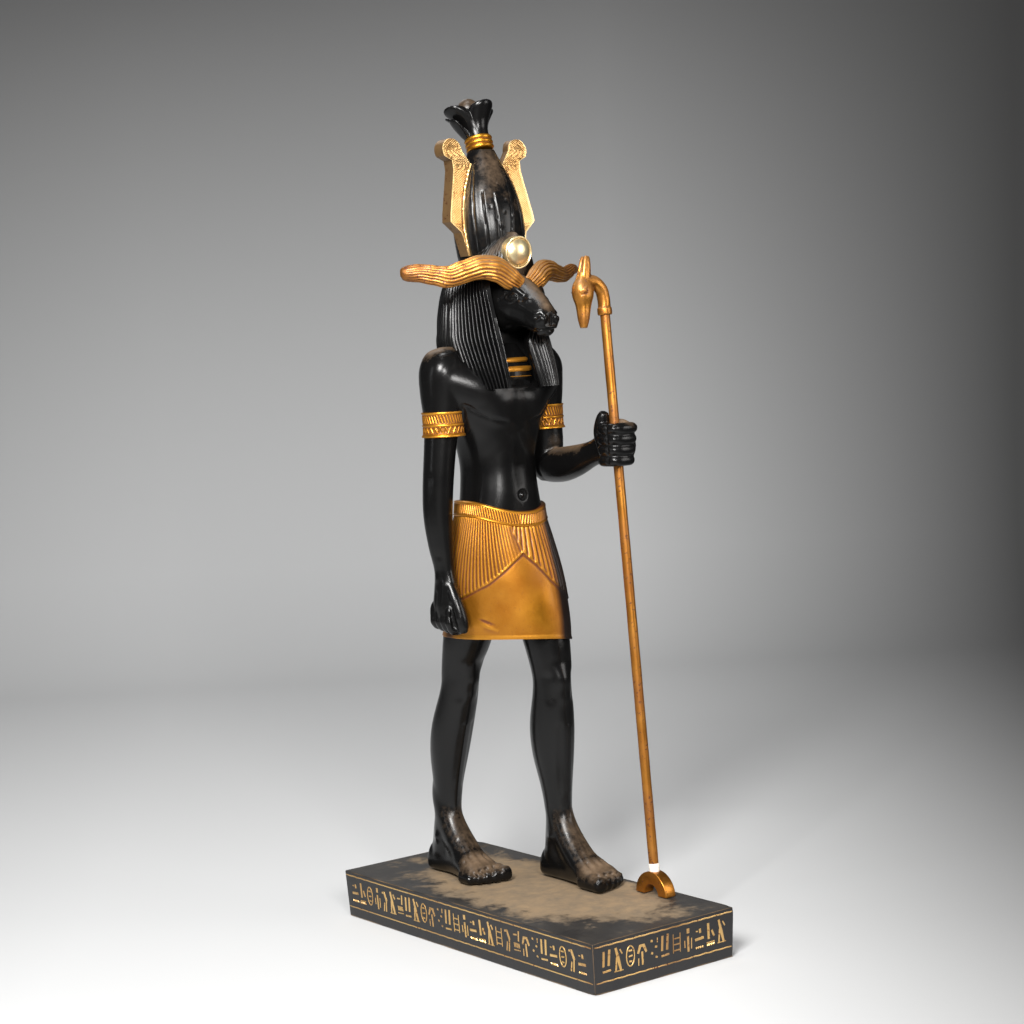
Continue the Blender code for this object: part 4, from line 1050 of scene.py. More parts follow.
def make_head():
    """The ram's head: eyes with lids, brow, cheekbones, nostrils and a closed mouth."""
    bodies = [loft(head_rings(curve_through(HEAD, 5)))]
    for side in (-1, 1):
        bodies.append(loft(ball_rings((side * 8.2, -33.6, 305.8), (2.4, 3.5, 2.2))))
        bodies.append(loft(path_rings(curve_through(((side * 9.2, -27.5, 311.0, 2.0, 1.8),
                                                     (side * 8.2, -34.5, 309.6, 1.7, 1.4),
                                                     (side * 6.2, -39, 306.2, 1.4, 1.2)), 4), 16,
                                                     (0, 0, 1))))
        bodies.append(loft(ball_rings((side * 3.8, -50.4, 294.2), (2.5, 2.9, 2.9))))
    bodies.append(loft(ball_rings((0, -47.0, 287.6), (4.6, 4.6, 2.6))))
    piece = melt("ram_head", bodies, 0.32, 14)
    lid = [(-10.0 + 0.8 * math.cos(t), -33.4 - 3.7 * math.cos(t), 305.9 + 2.2 * math.sin(t))
           for t in full_turn(12)]
    under = [(-9.8, -33.4 - 4.8 * math.cos(t), 305.9 + 3.3 * math.sin(t)) for t in full_turn(12)]
    carve(piece, mirrored([
        (under, 0.55, -0.45), (lid, 0.42, 0.5), ([(-9.0, -37.6, 305.2), (-8.2, -39.8, 303.8)], 0.6, -0.45),
        ([(-10.4, -28.2, 305.6), (-11.2, -25.6, 304.8)], 0.7, -0.4),
        ([(-10.8, -33.4, 305.9)], 0.7, -0.3),
        ([(-9.0, -38.4, 302.2), (-8.4, -43, 299.8), (-7.6, -47.2, 297.6), (-6.6, -50.0, 296.2)], 1.3, 0.7),
        ([(-6.8, -43.0, 304.0)], 1.8, 0.5), ([(-7.0, -41.5, 308.0)], 1.6, 0.45),
        ([(-10.6, -32, 297.6), (-8.0, -40, 295.0)], 2.6, -0.4),
        ([(-4.6, -52.4, 295.4), (-6.0, -50.8, 296.0), (-6.8, -49.2, 295.0)], 0.8, -1.0),
        ([(-6.4, -50.0, 298.0), (-4.4, -51.6, 297.8)], 0.9, 0.5),
        ([(-6.8, -49.4, 292.6), (-4.6, -52.0, 292.4)], 1.2, 0.35),
        ([(-7.4, -44.6, 289.0), (-6.4, -48, 288.3), (-4, -51, 288.0), (0, -52.4, 287.9)], 0.55, -0.95),
        ([(-7.6, -44.2, 289.4)], 1.0, 0.45),
        ([(-6.4, -47.2, 290.2), (-3.2, -51.4, 289.8), (0, -52.4, 289.8)], 0.8, 0.4),
        ([(-5.6, -45.8, 286.6), (0, -49.8, 286.0)], 0.7, 0.35),
        ([(-11.4, -24, 296), (-9.4, -32, 289.6)], 2.6, -0.5),
    ]) + [
        ([(0, -52.4, 295.0), (0, -52.2, 290.4)], 0.6, -0.4),
        ([(0, -34, 316), (0, -43, 308.6), (0, -50, 300.4)], 2.0, 0.35),
    ])
    mark_hollows(piece, 0.3, 8)
    mark_dust(piece, (([(0, -30, 317), (0, -38, 313), (0, -46, 306), (0, -51, 300)], 5.0, 0.72),))
    finish_black(piece)


def make_wig():
    """The striped wig: straight strands all round, two lappets cut straight, open at the face."""
    turn_share = np.linspace(0, 1, WIG_COLUMNS)
    strand = np.abs(np.cos(np.pi * bpy.context.scene.figurine_sizes.strands * turn_share))
    rows = curve_through(WIG, 14)
    rings = []
    for z, right, left, front, back, open_right, open_left, inner in rows:
        half_width, centre = (left - right) / 2, (left + right) / 2
        half_depth, middle = (back - front) / 2, (front + back) / 2
        corner = np.interp(z, (262.0, 290.0), (3.0, 2.4))
        first = math.acos(min(((open_left - centre) / half_width) ** (corner / 2), 1.0))
        last = math.acos(min(((centre - open_right) / half_width) ** (corner / 2), 1.0))
        turn = np.linspace(-first, math.pi + last, WIG_COLUMNS)
        swell = 1 + (0.052 if z < 322 else 0.018) * (strand - 0.6)
        x = centre + half_width * squared(np.cos(turn), corner) * swell
        y = middle + half_depth * squared(np.sin(turn), corner) * swell
        outer = np.stack((x, y, np.full(WIG_COLUMNS, z)), 1)
        inset = np.array([(open_right - 0.6, front + 1.6, z), (open_right - 5.0, inner, z),
                          (open_left + 8.0, inner, z), (open_left + 1.2, front + 1.6, z)])
        rings.append(np.vstack((outer, inset)))
    rings = np.array(rings)
    corners, faces = loft(rings)
    sides = rings.shape[1]
    faces = [face for face in faces if len(face) == 4]
    faces.append(list(range(sides)))
    faces.append(list(range((len(rings) - 1) * sides, len(rings) * sides)))
    piece = piece_from("wig", [(corners[:-2], faces)])
    mark_hollows(piece, 0.25, 6)
    mark_dust(piece, (([(-22, 0, 322), (0, 14, 322), (22, 0, 322)], 6.0, 0.8),))
    finish_black(piece, 50)


def make_hair_cap():
    """The hair that rises before the crown to a point above the disc, finely incised."""
    cap = ((0, -9.0, 315.0, 20.0, 19.0), (0, -10.0, 320.0, 19.4, 18.2), (0, -11.5, 326.0, 17.5, 16.3),
           (0, -14.0, 332.0, 12.8, 13.3), (0, -17.5, 336.0, 7.8, 9.6), (0, -20.5, 338.6, 3.2, 5.6),
           (0, -21.0, 339.2, 1.0, 2.0))
    rings = level_rings(curve_through(cap, 8), 320)
    turn = turns(320)[None, :] * np.ones((len(rings), 1))
    rise = np.linspace(0, 1, len(rings))[:, None]
    locks = relief("locks") * (np.abs(np.cos(30 * turn + 6 * rise)) - 0.6) * (1 - rise ** 3)
    piece = piece_from("hair_cap", [loft(pull(rings, locks))])
    mark_hollows(piece, 0.25, 5)
    mark_dust(piece, (([(0, -26, 337)], 6.0, 0.75), ([(-16, -20, 323), (-6, -24, 333)], 4.0, 0.7),
                      ([(16, -18, 323), (8, -22, 332)], 5.0, 0.8), ([(0, -30, 319)], 6.0, 0.9)))
    finish_black(piece, 50)


# Horns, disc, crown, plumes and finial

RIGHT_HORN = (
    # x, y, z, half height, half depth, given on the left; a wave that sweeps back and out
    (3.5, -32.5, 311.5, 4.4, 3.6), (8.5, -31.8, 315.0, 5.6, 4.4), (15.0, -29.6, 319.8, 6.3, 5.0),
    (22.5, -26.0, 321.4, 6.0, 5.0), (30.0, -22.4, 319.6, 5.6, 4.8), (37.0, -18.4, 317.4, 5.4, 4.6),
    (43.0, -13.8, 318.6, 4.9, 4.3), (48.5, -9.4, 320.0, 4.6, 4.0), (53.2, -6.0, 320.2, 4.1, 3.6),
    (55.4, -4.6, 320.4, 3.1, 2.8), (56.4, -4.0, 320.4, 1.5, 1.4),
)
LEFT_HORN = (
    (3.5, -32.5, 311.5, 4.4, 3.6), (8.5, -31.8, 315.0, 5.5, 4.4), (14.0, -29.8, 318.2, 5.8, 4.8),
    (20.5, -26.8, 318.8, 5.2, 4.5), (28.0, -23.2, 317.4, 4.4, 4.1), (36.0, -18.4, 316.8, 3.8, 3.6),
    (43.0, -13.8, 318.2, 3.4, 3.2), (48.5, -9.4, 319.6, 3.1, 2.9), (53.2, -6.0, 320.0, 2.7, 2.5),
    (55.4, -4.6, 320.2, 2.1, 1.9), (56.4, -4.0, 320.2, 1.0, 1.0),
)
CROWN = (
    # x, y, z, radius twice
    (0, -5.2, 322.0, 16.4, 16.4), (0, -5.0, 332.0, 17.8, 17.8), (0, -4.6, 342.0, 18.5, 18.5),
    (0, -4.2, 352.0, 17.6, 17.6), (0, -3.6, 362.0, 15.2, 15.2), (0, -2.8, 371.0, 11.8, 11.8),
    (0, -2.2, 377.0, 9.0, 9.0), (0, -1.4, 382.5, 6.8, 6.8),
)
CROWN_CREASES = (
    # degrees round the crown at the crease's foot and top, heights of both
    (214, 206, 328, 371), (232, 227, 330, 360), (252, 247, 330, 359), (272, 286, 338, 370),
    (302, 300, 332, 366),
    (326, 322, 328, 370), (352, 350, 330, 362), (20, 22, 328, 370), (56, 55, 330, 362), (90, 90, 328, 371),
    (124, 125, 330, 362), (160, 158, 328, 370), (188, 186, 330, 362),
)
CROWN_NICKS = (
    # degrees round the crown, height, length
    (256, 364, 1.0), (262, 349, 0.5), (247, 346, 0.6), (239, 352, 0.4), (268, 355, 0.5), (276, 347, 0.4),
    (254, 341, 0.5),
)
RING_SEAT, RING_TALL, RING_TILT = 382.2, 2.4, 0.3
PLUME_OUTER = ((328.0, 17.8), (334.0, 19.2), (340.0, 20.6), (345.6, 26.8), (350.0, 26.2), (361.0, 23.8),
               (372.0, 21.4), (377.0, 21.6), (379.2, 25.9))
PLUME_HEAD_X, PLUME_HEAD_Z, PLUME_HEAD_RADIUS = 20.8, 382.2, 5.9
PLUME_FOOT, PLUME_NECK, PLUME_FRONT, PLUME_BACK, PLUME_LEAN = 328.0, 379.2, -10.4, -3.0, 0.10
BALL_RADIUS = 5.7
FINIAL = (
    # z, shift back, radius, petal share
    (387.0, 0.0, 5.9, 0.0), (390.0, 0.5, 5.8, 0.02), (393.0, 1.6, 6.4, 0.07), (396.0, 3.2, 8.3, 0.13),
    (398.6, 4.8, 11.4, 0.26), (400.2, 6.4, 14.1, 0.36), (401.0, 7.4, 15.2, 0.42), (401.8, 7.8, 15.0, 0.43),
    (401.4, 7.8, 14.0, 0.40), (400.4, 7.4, 11.4, 0.30), (399.4, 7.0, 7.6, 0.16), (398.8, 6.8, 3.0, 0.0),
)


def make_horn(name, side):
    """A wavy horn with deep lengthwise ridges that fade at its smooth tip."""
    rows = curve_through(flipped(RIGHT_HORN) if side < 0 else LEFT_HORN, 12)
    rings = path_rings([(x, y, z, deep, high) for x, y, z, high, deep in rows], 132, (0, 1, 0))
    share = np.linspace(0, 1, len(rings))[:, None]
    turn = turns(132)[None, :]
    fade = np.clip((0.86 - share) / 0.25, 0, 1)
    drift = 1.2 * share + 0.25 * np.sin(share * 9 + 2 * turn)
    ridges = (np.abs(np.cos(9 * turn + drift)) - 0.64) * fade
    ridges = ridges * (relief("horn_ridges") + 0.2 * np.sin(turn * 3 + 1))
    rings_round = 0.10 * np.cos(share * 60) * fade
    piece = piece_from(name, [loft(pull(rings, ridges + rings_round))])
    mark_hollows(piece, 0.24, 7)
    points = units_of(piece)
    up = normals_of(piece)[:, 2]
    mark(piece, "dust", np.clip(up * 1.8, 0, 1) * np.clip((36.0 - np.abs(points[:, 0])) / 16.0, 0, 1))
    mark(piece, "patina", 0.15 + 0.6 * np.clip((np.abs(points[:, 0]) - 30) / 24, 0, 1))
    finish_gilt(piece, "red", 60)


def make_disc():
    """The sun disc: a low dome in a thin raised rim, on the brow."""
    profile = [(0.0, 3.3), (2.0, 3.15), (4.0, 2.65), (5.8, 1.8), (6.9, 1.0), (7.2, 0.45), (7.35, 0.6),
               (7.6, 1.05), (8.0, 1.1), (8.3, 0.8), (8.4, 0.2), (8.2, -2.0), (7.6, -11.0), (0.0, -11.0)]
    face = Matrix.Translation(Vector(metres((0, -28.4, 328.4)))) @ Matrix.Rotation(math.radians(97), 4, "X")
    piece = spun("sun_disc", [(r * UNIT, h * UNIT) for r, h in profile], 72, face)
    mark_hollows(piece, 0.3, 3)
    # The disc's gold carries painted sheen.
    finish_gilt(piece, "disc_sheen", 60)


def make_crown():
    """The tall crown with thin lengthwise creases, worn and dusty on its upper front."""
    piece = piece_from("crown", [loft(level_rings(curve_through(CROWN, 16), 220))])
    table = curve_through(CROWN, 8)

    def on_crown(degrees, z):
        """A place on the crown's skin, by degrees round it and height."""
        y, _, radius, _ = row_at(table, z, 2)[1:]
        turn = math.radians(degrees)
        return (radius * math.cos(turn), y + radius * math.sin(turn), z)
    strokes = []
    for low_turn, high_turn, low, high in CROWN_CREASES:
        levels = np.linspace(low, high, 9)
        line = [on_crown(np.interp(z, (low, high), (low_turn, high_turn)), z) for z in levels]
        beside = [on_crown(np.interp(z, (low, high), (low_turn, high_turn)) + 3.4, z) for z in levels]
        strokes += [(line, 0.45, -0.42), (beside, 1.0, 0.16)]
    for degrees, z, size in CROWN_NICKS:
        strokes.append(([on_crown(degrees, z), on_crown(degrees + 2 * size, z + size)], 0.5, -0.35))
    carve(piece, strokes)
    mark_hollows(piece, 0.25, 7)
    mark_dust(piece, (([on_crown(255, 368), on_crown(262, 377)], 10.0, 0.62),
                      ([on_crown(235, 360)], 8.0, 0.5),
                      ([on_crown(300, 352)], 9.0, 0.45), ([on_crown(90, 366)], 14.0, 0.5)), 0.3)
    finish_black(piece)


def make_crown_rings():
    """Three gilded rings round the crown's neck, tilted back."""
    profile = [(0.0, 0.0), (5.6, 0.0)]
    for number in range(3):
        for lift, out in ((0.05, 0.62), (0.25, 1.15), (0.5, 1.35), (0.75, 1.15), (0.95, 0.62)):
            profile.append((6.0 + out, RING_TALL * (number + lift)))
    profile += [(5.6, RING_TALL * 3), (0.0, RING_TALL * 3)]
    tilt = Matrix.Rotation(-math.atan(RING_TILT), 4, "X")
    place = Matrix.Translation(Vector(metres((0, -1.2, RING_SEAT)))) @ tilt
    piece = spun("crown_rings", [(r * UNIT, h * UNIT) for r, h in profile], 96, place)
    mark_hollows(piece, 0.3, 4)
    finish_gilt(piece, "gold", 60)


def plume_edges(z):
    """Inner and outer x of a plume at a height."""
    rise = (z - PLUME_HEAD_Z) / PLUME_HEAD_RADIUS
    bow = PLUME_HEAD_RADIUS * math.sqrt(max(1.0 - rise * rise, 0.0))
    if z >= PLUME_NECK:
        outer = PLUME_HEAD_X + bow
    else:
        outer = np.interp(z, *zip(*PLUME_OUTER))
    inner = PLUME_HEAD_X - bow if z >= PLUME_HEAD_Z else np.interp(z, (328, 350, 372, 382.2),
                                                                   (11, 11, 8, 14.9))
    return inner, outer


def crown_edge(z, y):
    """Half the crown's width at a height, on the plane of the plumes' faces."""
    middle, _, radius, _ = row_at(np.array(CROWN), z, 2)[1:]
    return math.sqrt(max(radius ** 2 - (y - middle) ** 2, 0.0))


def make_plume(name, side):
    """A tall plume: fine slanted barbs on its face, a rib along the crown and a thin rim."""
    across, levels = 30, 230
    heights = np.concatenate((np.linspace(PLUME_FOOT, 380.0, levels - 36)[:-1],
                              PLUME_HEAD_Z + PLUME_HEAD_RADIUS * np.sin(np.linspace(-0.38, 1.555, 37))))
    share = np.linspace(0, 1, across)
    rings = []
    for z in heights:
        inner, outer = plume_edges(z)
        lean = (z - PLUME_FOOT) * PLUME_LEAN
        front, back = PLUME_FRONT + lean, PLUME_BACK + lean
        x = inner + (outer - inner) * share
        from_crown = x - crown_edge(z, front)
        phase = (z + 0.75 * x) / 1.15
        barb = relief("barbs") * (np.abs(np.cos(np.pi * phase)) - 0.5)
        rib = (from_crown < 1.7) & (z < 378)
        rim = outer - x < 0.55
        ridge = 0.55 * np.clip(1 - np.abs(from_crown - 0.7) / 1.1, 0, 1)
        height = np.where(rim, 0.15, np.where(rib, ridge, barb))
        height = np.where(rib & (from_crown > 1.35), -0.35, height)
        face = np.stack((side * x, front - height, np.full(across, z)), 1)
        rear = np.array([(side * at, back, z) for at in x[::-6]])
        outside, inside = [[(side * at, front + 0.4, z)] for at in (outer, inner)]
        rings.append(np.vstack((face, outside, rear, inside)))
    piece = piece_from(name, [loft(rings)])
    mark_hollows(piece, 0.16, 5)
    points = units_of(piece)
    front = PLUME_FRONT + (points[:, 2] - PLUME_FOOT) * PLUME_LEAN
    # Painted shade: the plume's back and edges go nearly black.
    mark(piece, "patina", np.where(points[:, 1] > front + 0.3, 0.86, 0.0))
    finish_gilt(piece, "plume", 35)


def make_finial():
    """The open flower at the top: four thick petals, smaller ones under them, and a dusty ball."""
    rows = curve_through(FINIAL, 6)
    turn = turns(144)
    petal = np.abs(np.cos(2 * turn - 0.28)) ** 0.7
    rings = []
    for z, back, radius, share in rows:
        reach = radius * (1 - share + share * petal)
        lift = 0.42 * share * radius * petal - (0.26 * reach * np.sin(turn) if share > 0.01 else 0.0)
        rings.append(np.stack((reach * np.cos(turn), back + 0.96 * reach * np.sin(turn), z + lift), 1))
    bodies = [loft(rings)]
    for degrees in (168, 62):
        way = np.array((math.cos(math.radians(degrees)), math.sin(math.radians(degrees))))
        path = []
        for out, rise, half, thick in ((4.0, 388, 2.6, 1.6), (6.6, 390.6, 3.8, 1.7), (9.6, 394.0, 5.0, 1.5),
                                       (12.4, 397.2, 4.6, 1.2), (13.8, 398.6, 2.4, 0.8)):
            path.append((way[0] * out, 2.0 + way[1] * out * 0.9, rise, half, thick))
        bodies.append(loft(path_rings(curve_through(path, 4), 20, (-way[1], way[0], 0))))
    piece = melt("finial", bodies, 0.4, 2)
    mark_hollows(piece)
    mark_dust(piece, (([(0, 9, 404)], 7.0, 0.6),))
    finish_black(piece)
    bpy.ops.mesh.primitive_uv_sphere_add(segments=40, ring_count=24, radius=BALL_RADIUS * UNIT,
                                         location=Vector(metres((0, 7.6, UNITS_HIGH - BALL_RADIUS))))
    ball = bpy.context.object
    ball.name = ball.data.name = "finial_ball"
    bpy.ops.object.mode_set(mode="EDIT")
    bpy.ops.mesh.select_all(action="SELECT")
    bpy.ops.transform.resize(value=(1.0, 1.0, 0.97))
    bpy.ops.mesh.vertices_smooth(factor=0.3, repeat=1)
    bpy.ops.object.mode_set(mode="OBJECT")
    bpy.ops.object.transform_apply(location=True, rotation=True, scale=True)
    carve(ball, [([(1.5, 4, 408)], 2.0, -0.2), ([(-3, 4, 406)], 1.5, -0.15)])
    mark_dust(ball, (([(0, 7.6, 404.5)], 9.0, 0.75),), 0.6)
    finish_black(ball)


# Sceptre

def rod_place():
    """The rod's axis: through the left fist's middle, leaning back as it rises."""
    lean = Vector((0.0, math.sin(ROD_LEAN), math.cos(ROD_LEAN)))
    through = Vector(metres(FIST))
    start_height = SOLES + FORK_RADIUS - ROD_SOCKET_DEPTH + FIT_GAP
    start = through - lean * ((through.z - start_height) / lean.z)
    turn = Vector((0, 0, 1)).rotation_difference(lean).to_matrix().to_4x4()
    return Matrix.Translation(start) @ turn


def make_rod():
    """The straight gilded rod, its bare white band near the foot."""
    place = rod_place()
    profile = [(0.0, 0.0), (ROD_RADIUS, 0.0)]
    profile += [(ROD_RADIUS, z) for z in np.linspace(0.002, ROD_LENGTH - 0.0004, 120)]
    profile += [(ROD_RADIUS - 0.0004, ROD_LENGTH), (0.0, ROD_LENGTH)]
    rod = spun("sceptre_rod_gilt", profile, 36, place)
    points = corners_of(rod)
    wobble = 0.00005 * np.sin(points[:, 2] * 210) * np.sin(points[:, 2] * 77 + 1)
    set_corners(rod, points + normals_of(rod) * wobble[:, None])
    mark(rod, "patina", np.clip(0.35 + 0.4 * np.sin(points[:, 2] * 160) * np.sin(points[:, 2] * 63), 0, 0.7))
    finish_piece(rod, "sceptre_rod", "worn")
    low = ROD_SOCKET_DEPTH - 0.0006
    high = low + BARE_BAND_TALL
    band = [(0.0, low), (ROD_RADIUS + 0.00012, low), (ROD_RADIUS + 0.00022, low + 0.0004),
            (ROD_RADIUS + 0.00022, high - 0.0004), (ROD_RADIUS + 0.00008, high), (0.0, high)]
    bare = spun("bare_band", band, 36, place)
    finish_piece(bare, "sceptre_rod", "bare")


def make_fork():
    """The forked foot: half a thick ring with softened, worn edges."""
    place = rod_place().translation
    bpy.ops.object.select_all(action="DESELECT")
    bpy.ops.mesh.primitive_cylinder_add(vertices=96, radius=FORK_RADIUS, depth=FORK_THICKNESS,
                                        location=(place.x, place.y, SOLES), rotation=(0, math.pi / 2, 0))
    fork = bpy.context.object
    fork.name = fork.data.name = "sceptre_fork"
    bpy.ops.object.transform_apply(location=True, rotation=True, scale=True)
    bpy.ops.mesh.primitive_cylinder_add(vertices=64, radius=FORK_HOLLOW_RADIUS, depth=3 * FORK_THICKNESS,
                                        location=(place.x, place.y, SOLES), rotation=(0, math.pi / 2, 0))
    hollow = bpy.context.object
    bpy.ops.object.transform_apply(location=True, rotation=True, scale=True)
    add_modifier(fork, "BOOLEAN", operation="DIFFERENCE", object=hollow)
    bpy.data.objects.remove(hollow, do_unlink=True)
    activate(fork)
    bpy.ops.object.mode_set(mode="EDIT")
    bpy.ops.mesh.select_all(action="SELECT")
    bpy.ops.mesh.bisect(plane_co=(0, 0, SOLES), plane_no=(0, 0, 1), use_fill=True, clear_inner=True)
    bpy.ops.object.mode_set(mode="OBJECT")
    add_modifier(fork, "BEVEL", width=0.0005, segments=3, limit_method="ANGLE", angle_limit=math.radians(40))
    finish_piece(fork, "sceptre_foot", "red", 35)


def make_sceptre_head():
    """The slender beast's head that caps the rod: tall ears, eyes, a long snout and a bent neck."""
    place = rod_place()

    def rings_here(rows, sides, power=2.3):
        rings = path_rings(curve_through(rows, 5), sides, (0, 1, 0), power)
        flat = rings.reshape(-1, 3) * 0.001 + np.array((0, 0, ROD_LENGTH))
        moved = np.array([place @ Vector(point) for point in flat])
        return moved.reshape(rings.shape)
    neck = ((0, 0, -1.0, 3.1, 3.1), (0, 0, 4.0, 3.1, 3.1), (-1.2, 0, 9.0, 3.2, 3.2),
            (-5.4, 0, 12.8, 3.2, 3.2),
            (-10.5, 0, 13.0, 3.6, 3.6))
    skull = ((-11.0, 0, 17.5, 2.6, 3.6), (-11.8, 0, 13.0, 3.8, 4.8), (-12.8, 0, 9.6, 4.8, 5.6),
             (-13.2, 0, 5.6, 4.8, 5.2), (-13.4, 0, 1.0, 3.7, 3.8), (-14.0, 0, -5.5, 2.9, 2.8),
             (-14.4, 0, -9.9, 1.8, 1.7))
    bodies = [loft(rings_here(neck, 28)), loft(rings_here(skull, 28))]
    for side in (-1, 1):
        ear = ((-12.4, side * 1.7, 12.0, 1.9, 2.8), (-10.8, side * 1.5, 19.0, 1.7, 2.6),
               (-9.8, side * 1.2, 24.0, 1.4, 2.0), (-9.5, side * 1.0, 25.8, 1.0, 1.4))
        bodies.append(loft(rings_here(ear, 16)))
    collar = [(-4.0, 3.1), (-3.4, 3.7), (-0.6, 3.7), (0.0, 3.2)]
    bodies.append(loft(rings_here([(0, 0, z, r, r) for z, r in collar], 28, 2.0)))
    bodies = [((corners - FIGURE_FOOT) / UNIT, faces) for corners, faces in bodies]
    piece = melt("sceptre_beast", bodies, 0.3, 2)

    def here(x, y, z):
        """A place beside the rod's end, in millimetres, as the figure's units."""
        spot = place @ Vector((x * 0.001, y * 0.001, ROD_LENGTH + z * 0.001))
        return tuple((np.array(spot) - FIGURE_FOOT) / UNIT)
    strokes = []
    for side in (-1, 1):
        strokes += [
            ([here(-15.2, side * 4.4, 8.4)], 1.0, 0.5),
            ([here(-13.6, side * 5.0, 10.6), here(-17, side * 3.4, 8.2)], 0.45, 0.4),
            ([here(-14.2, side * 4.8, 7.0), here(-16.6, side * 3.6, 6.4)], 0.4, -0.4),
            ([here(-14.0, side * 3.0, 0.0), here(-14.6, side * 1.8, -8.0)], 0.35, -0.35),
            ([here(-12.2, side * 4.2, 15.0), here(-10.6, side * 3.4, 22.0)], 0.5, -0.45),
        ]
    strokes.append(([here(-12.0, 0, 26), here(-13.4, 0, 18), here(-14.6, 0, 14.5)], 0.6, -0.8))
    strokes.append(([here(-17.4, 0, 11.0), here(-17.6, 0, 4.0), here(-16.4, 0, -4.0)], 0.8, 0.3))
    carve(piece, strokes)
    mark_hollows(piece, 0.25, 6)
    points = corners_of(piece)
    mark(piece, "patina", np.clip(0.3 + 0.35 * np.sin(points[:, 2] * 420) * np.sin(points[:, 0] * 380), 0,
                                  0.6))
    mark(piece, "dust", np.clip(normals_of(piece)[:, 2] * 0.6 + 0.2, 0, 0.5))
    finish_piece(piece, "sceptre_head", "red", 60)


# Plinth

PLINTH_DRAFT, PLINTH_CORNER = 0.0011, 0.0007
PLINTH_CUTS = 40
PLINTH_CHIPS = (
    # the chip's middle, radius and depth, in metres
    ((-0.045, -0.1075, 0.0253), 0.0022, 0.0007), ((-0.044, -0.1064, 0.0), 0.002, 0.0008),
    ((-0.045, -0.03, 0.0253), 0.0016, 0.0004), ((-0.045, 0.052, 0.0253), 0.002, 0.0003),
    ((0.012, -0.1075, 0.0253), 0.0018, 0.0004), ((0.045, -0.1075, 0.0253), 0.002, 0.0006),
    ((-0.044, 0.02, 0.0), 0.0022, 0.0005), ((0.045, 0.1075, 0.0253), 0.0022, 0.0006),
)


def side_frame(side):
    """Middle of a plinth's side at its top, the ways along, down and out of it, and half its length."""
    half_x, half_y = PLINTH_HIGH.x, PLINTH_HIGH.y
    draft = math.atan(PLINTH_DRAFT / PLINTH_HIGH.z)
    frames = {
        "right_hand": (Vector((-half_x, 0, 0)), Vector((0, -1, 0)), Vector((-1, 0, 0)), half_y),
        "front": (Vector((0, -half_y, 0)), Vector((1, 0, 0)), Vector((0, -1, 0)), half_x),
        "left_hand": (Vector((half_x, 0, 0)), Vector((0, 1, 0)), Vector((1, 0, 0)), half_y),
        "back": (Vector((0, half_y, 0)), Vector((-1, 0, 0)), Vector((0, 1, 0)), half_x),
    }
    middle, along, out, half = frames[side]
    middle = middle + Vector((0, 0, PLINTH_HIGH.z))
    up = Vector((0, 0, 1))
    down = -up * math.cos(draft) - out * math.sin(draft)
    normal = out * math.cos(draft) - up * math.sin(draft)
    return middle, along, down, normal, half


def bar(frame_of_side, line, width, proud, sunk=0.0004):
    """A stroke along a line of (distance along, depth down) points, with rounded shoulders."""
    middle, along, down, out, _ = frame_of_side
    line = [Vector(point) for point in line]
    rings = []
    for index, point in enumerate(line):
        ahead = line[min(index + 1, len(line) - 1)] - line[max(index - 1, 0)]
        ahead.normalize()
        square = Vector((-ahead.y, ahead.x))
        ring = []
        ends = 0.72 if index in (0, len(line) - 1) else 1.0
        for share, height in ((-1.0, -sunk), (-0.92, proud * 0.4), (-0.5, proud), (0.5, proud),
                              (0.92, proud * 0.4),
                              (1.0, -sunk)):
            flat = point + square * (share * width / 2 * ends)
            raised = height * (1.0 if ends == 1 else 0.8)
            ring.append(middle + along * flat.x + down * flat.y + out * raised)
        rings.append([tuple(corner) for corner in ring])
    return loft(rings)


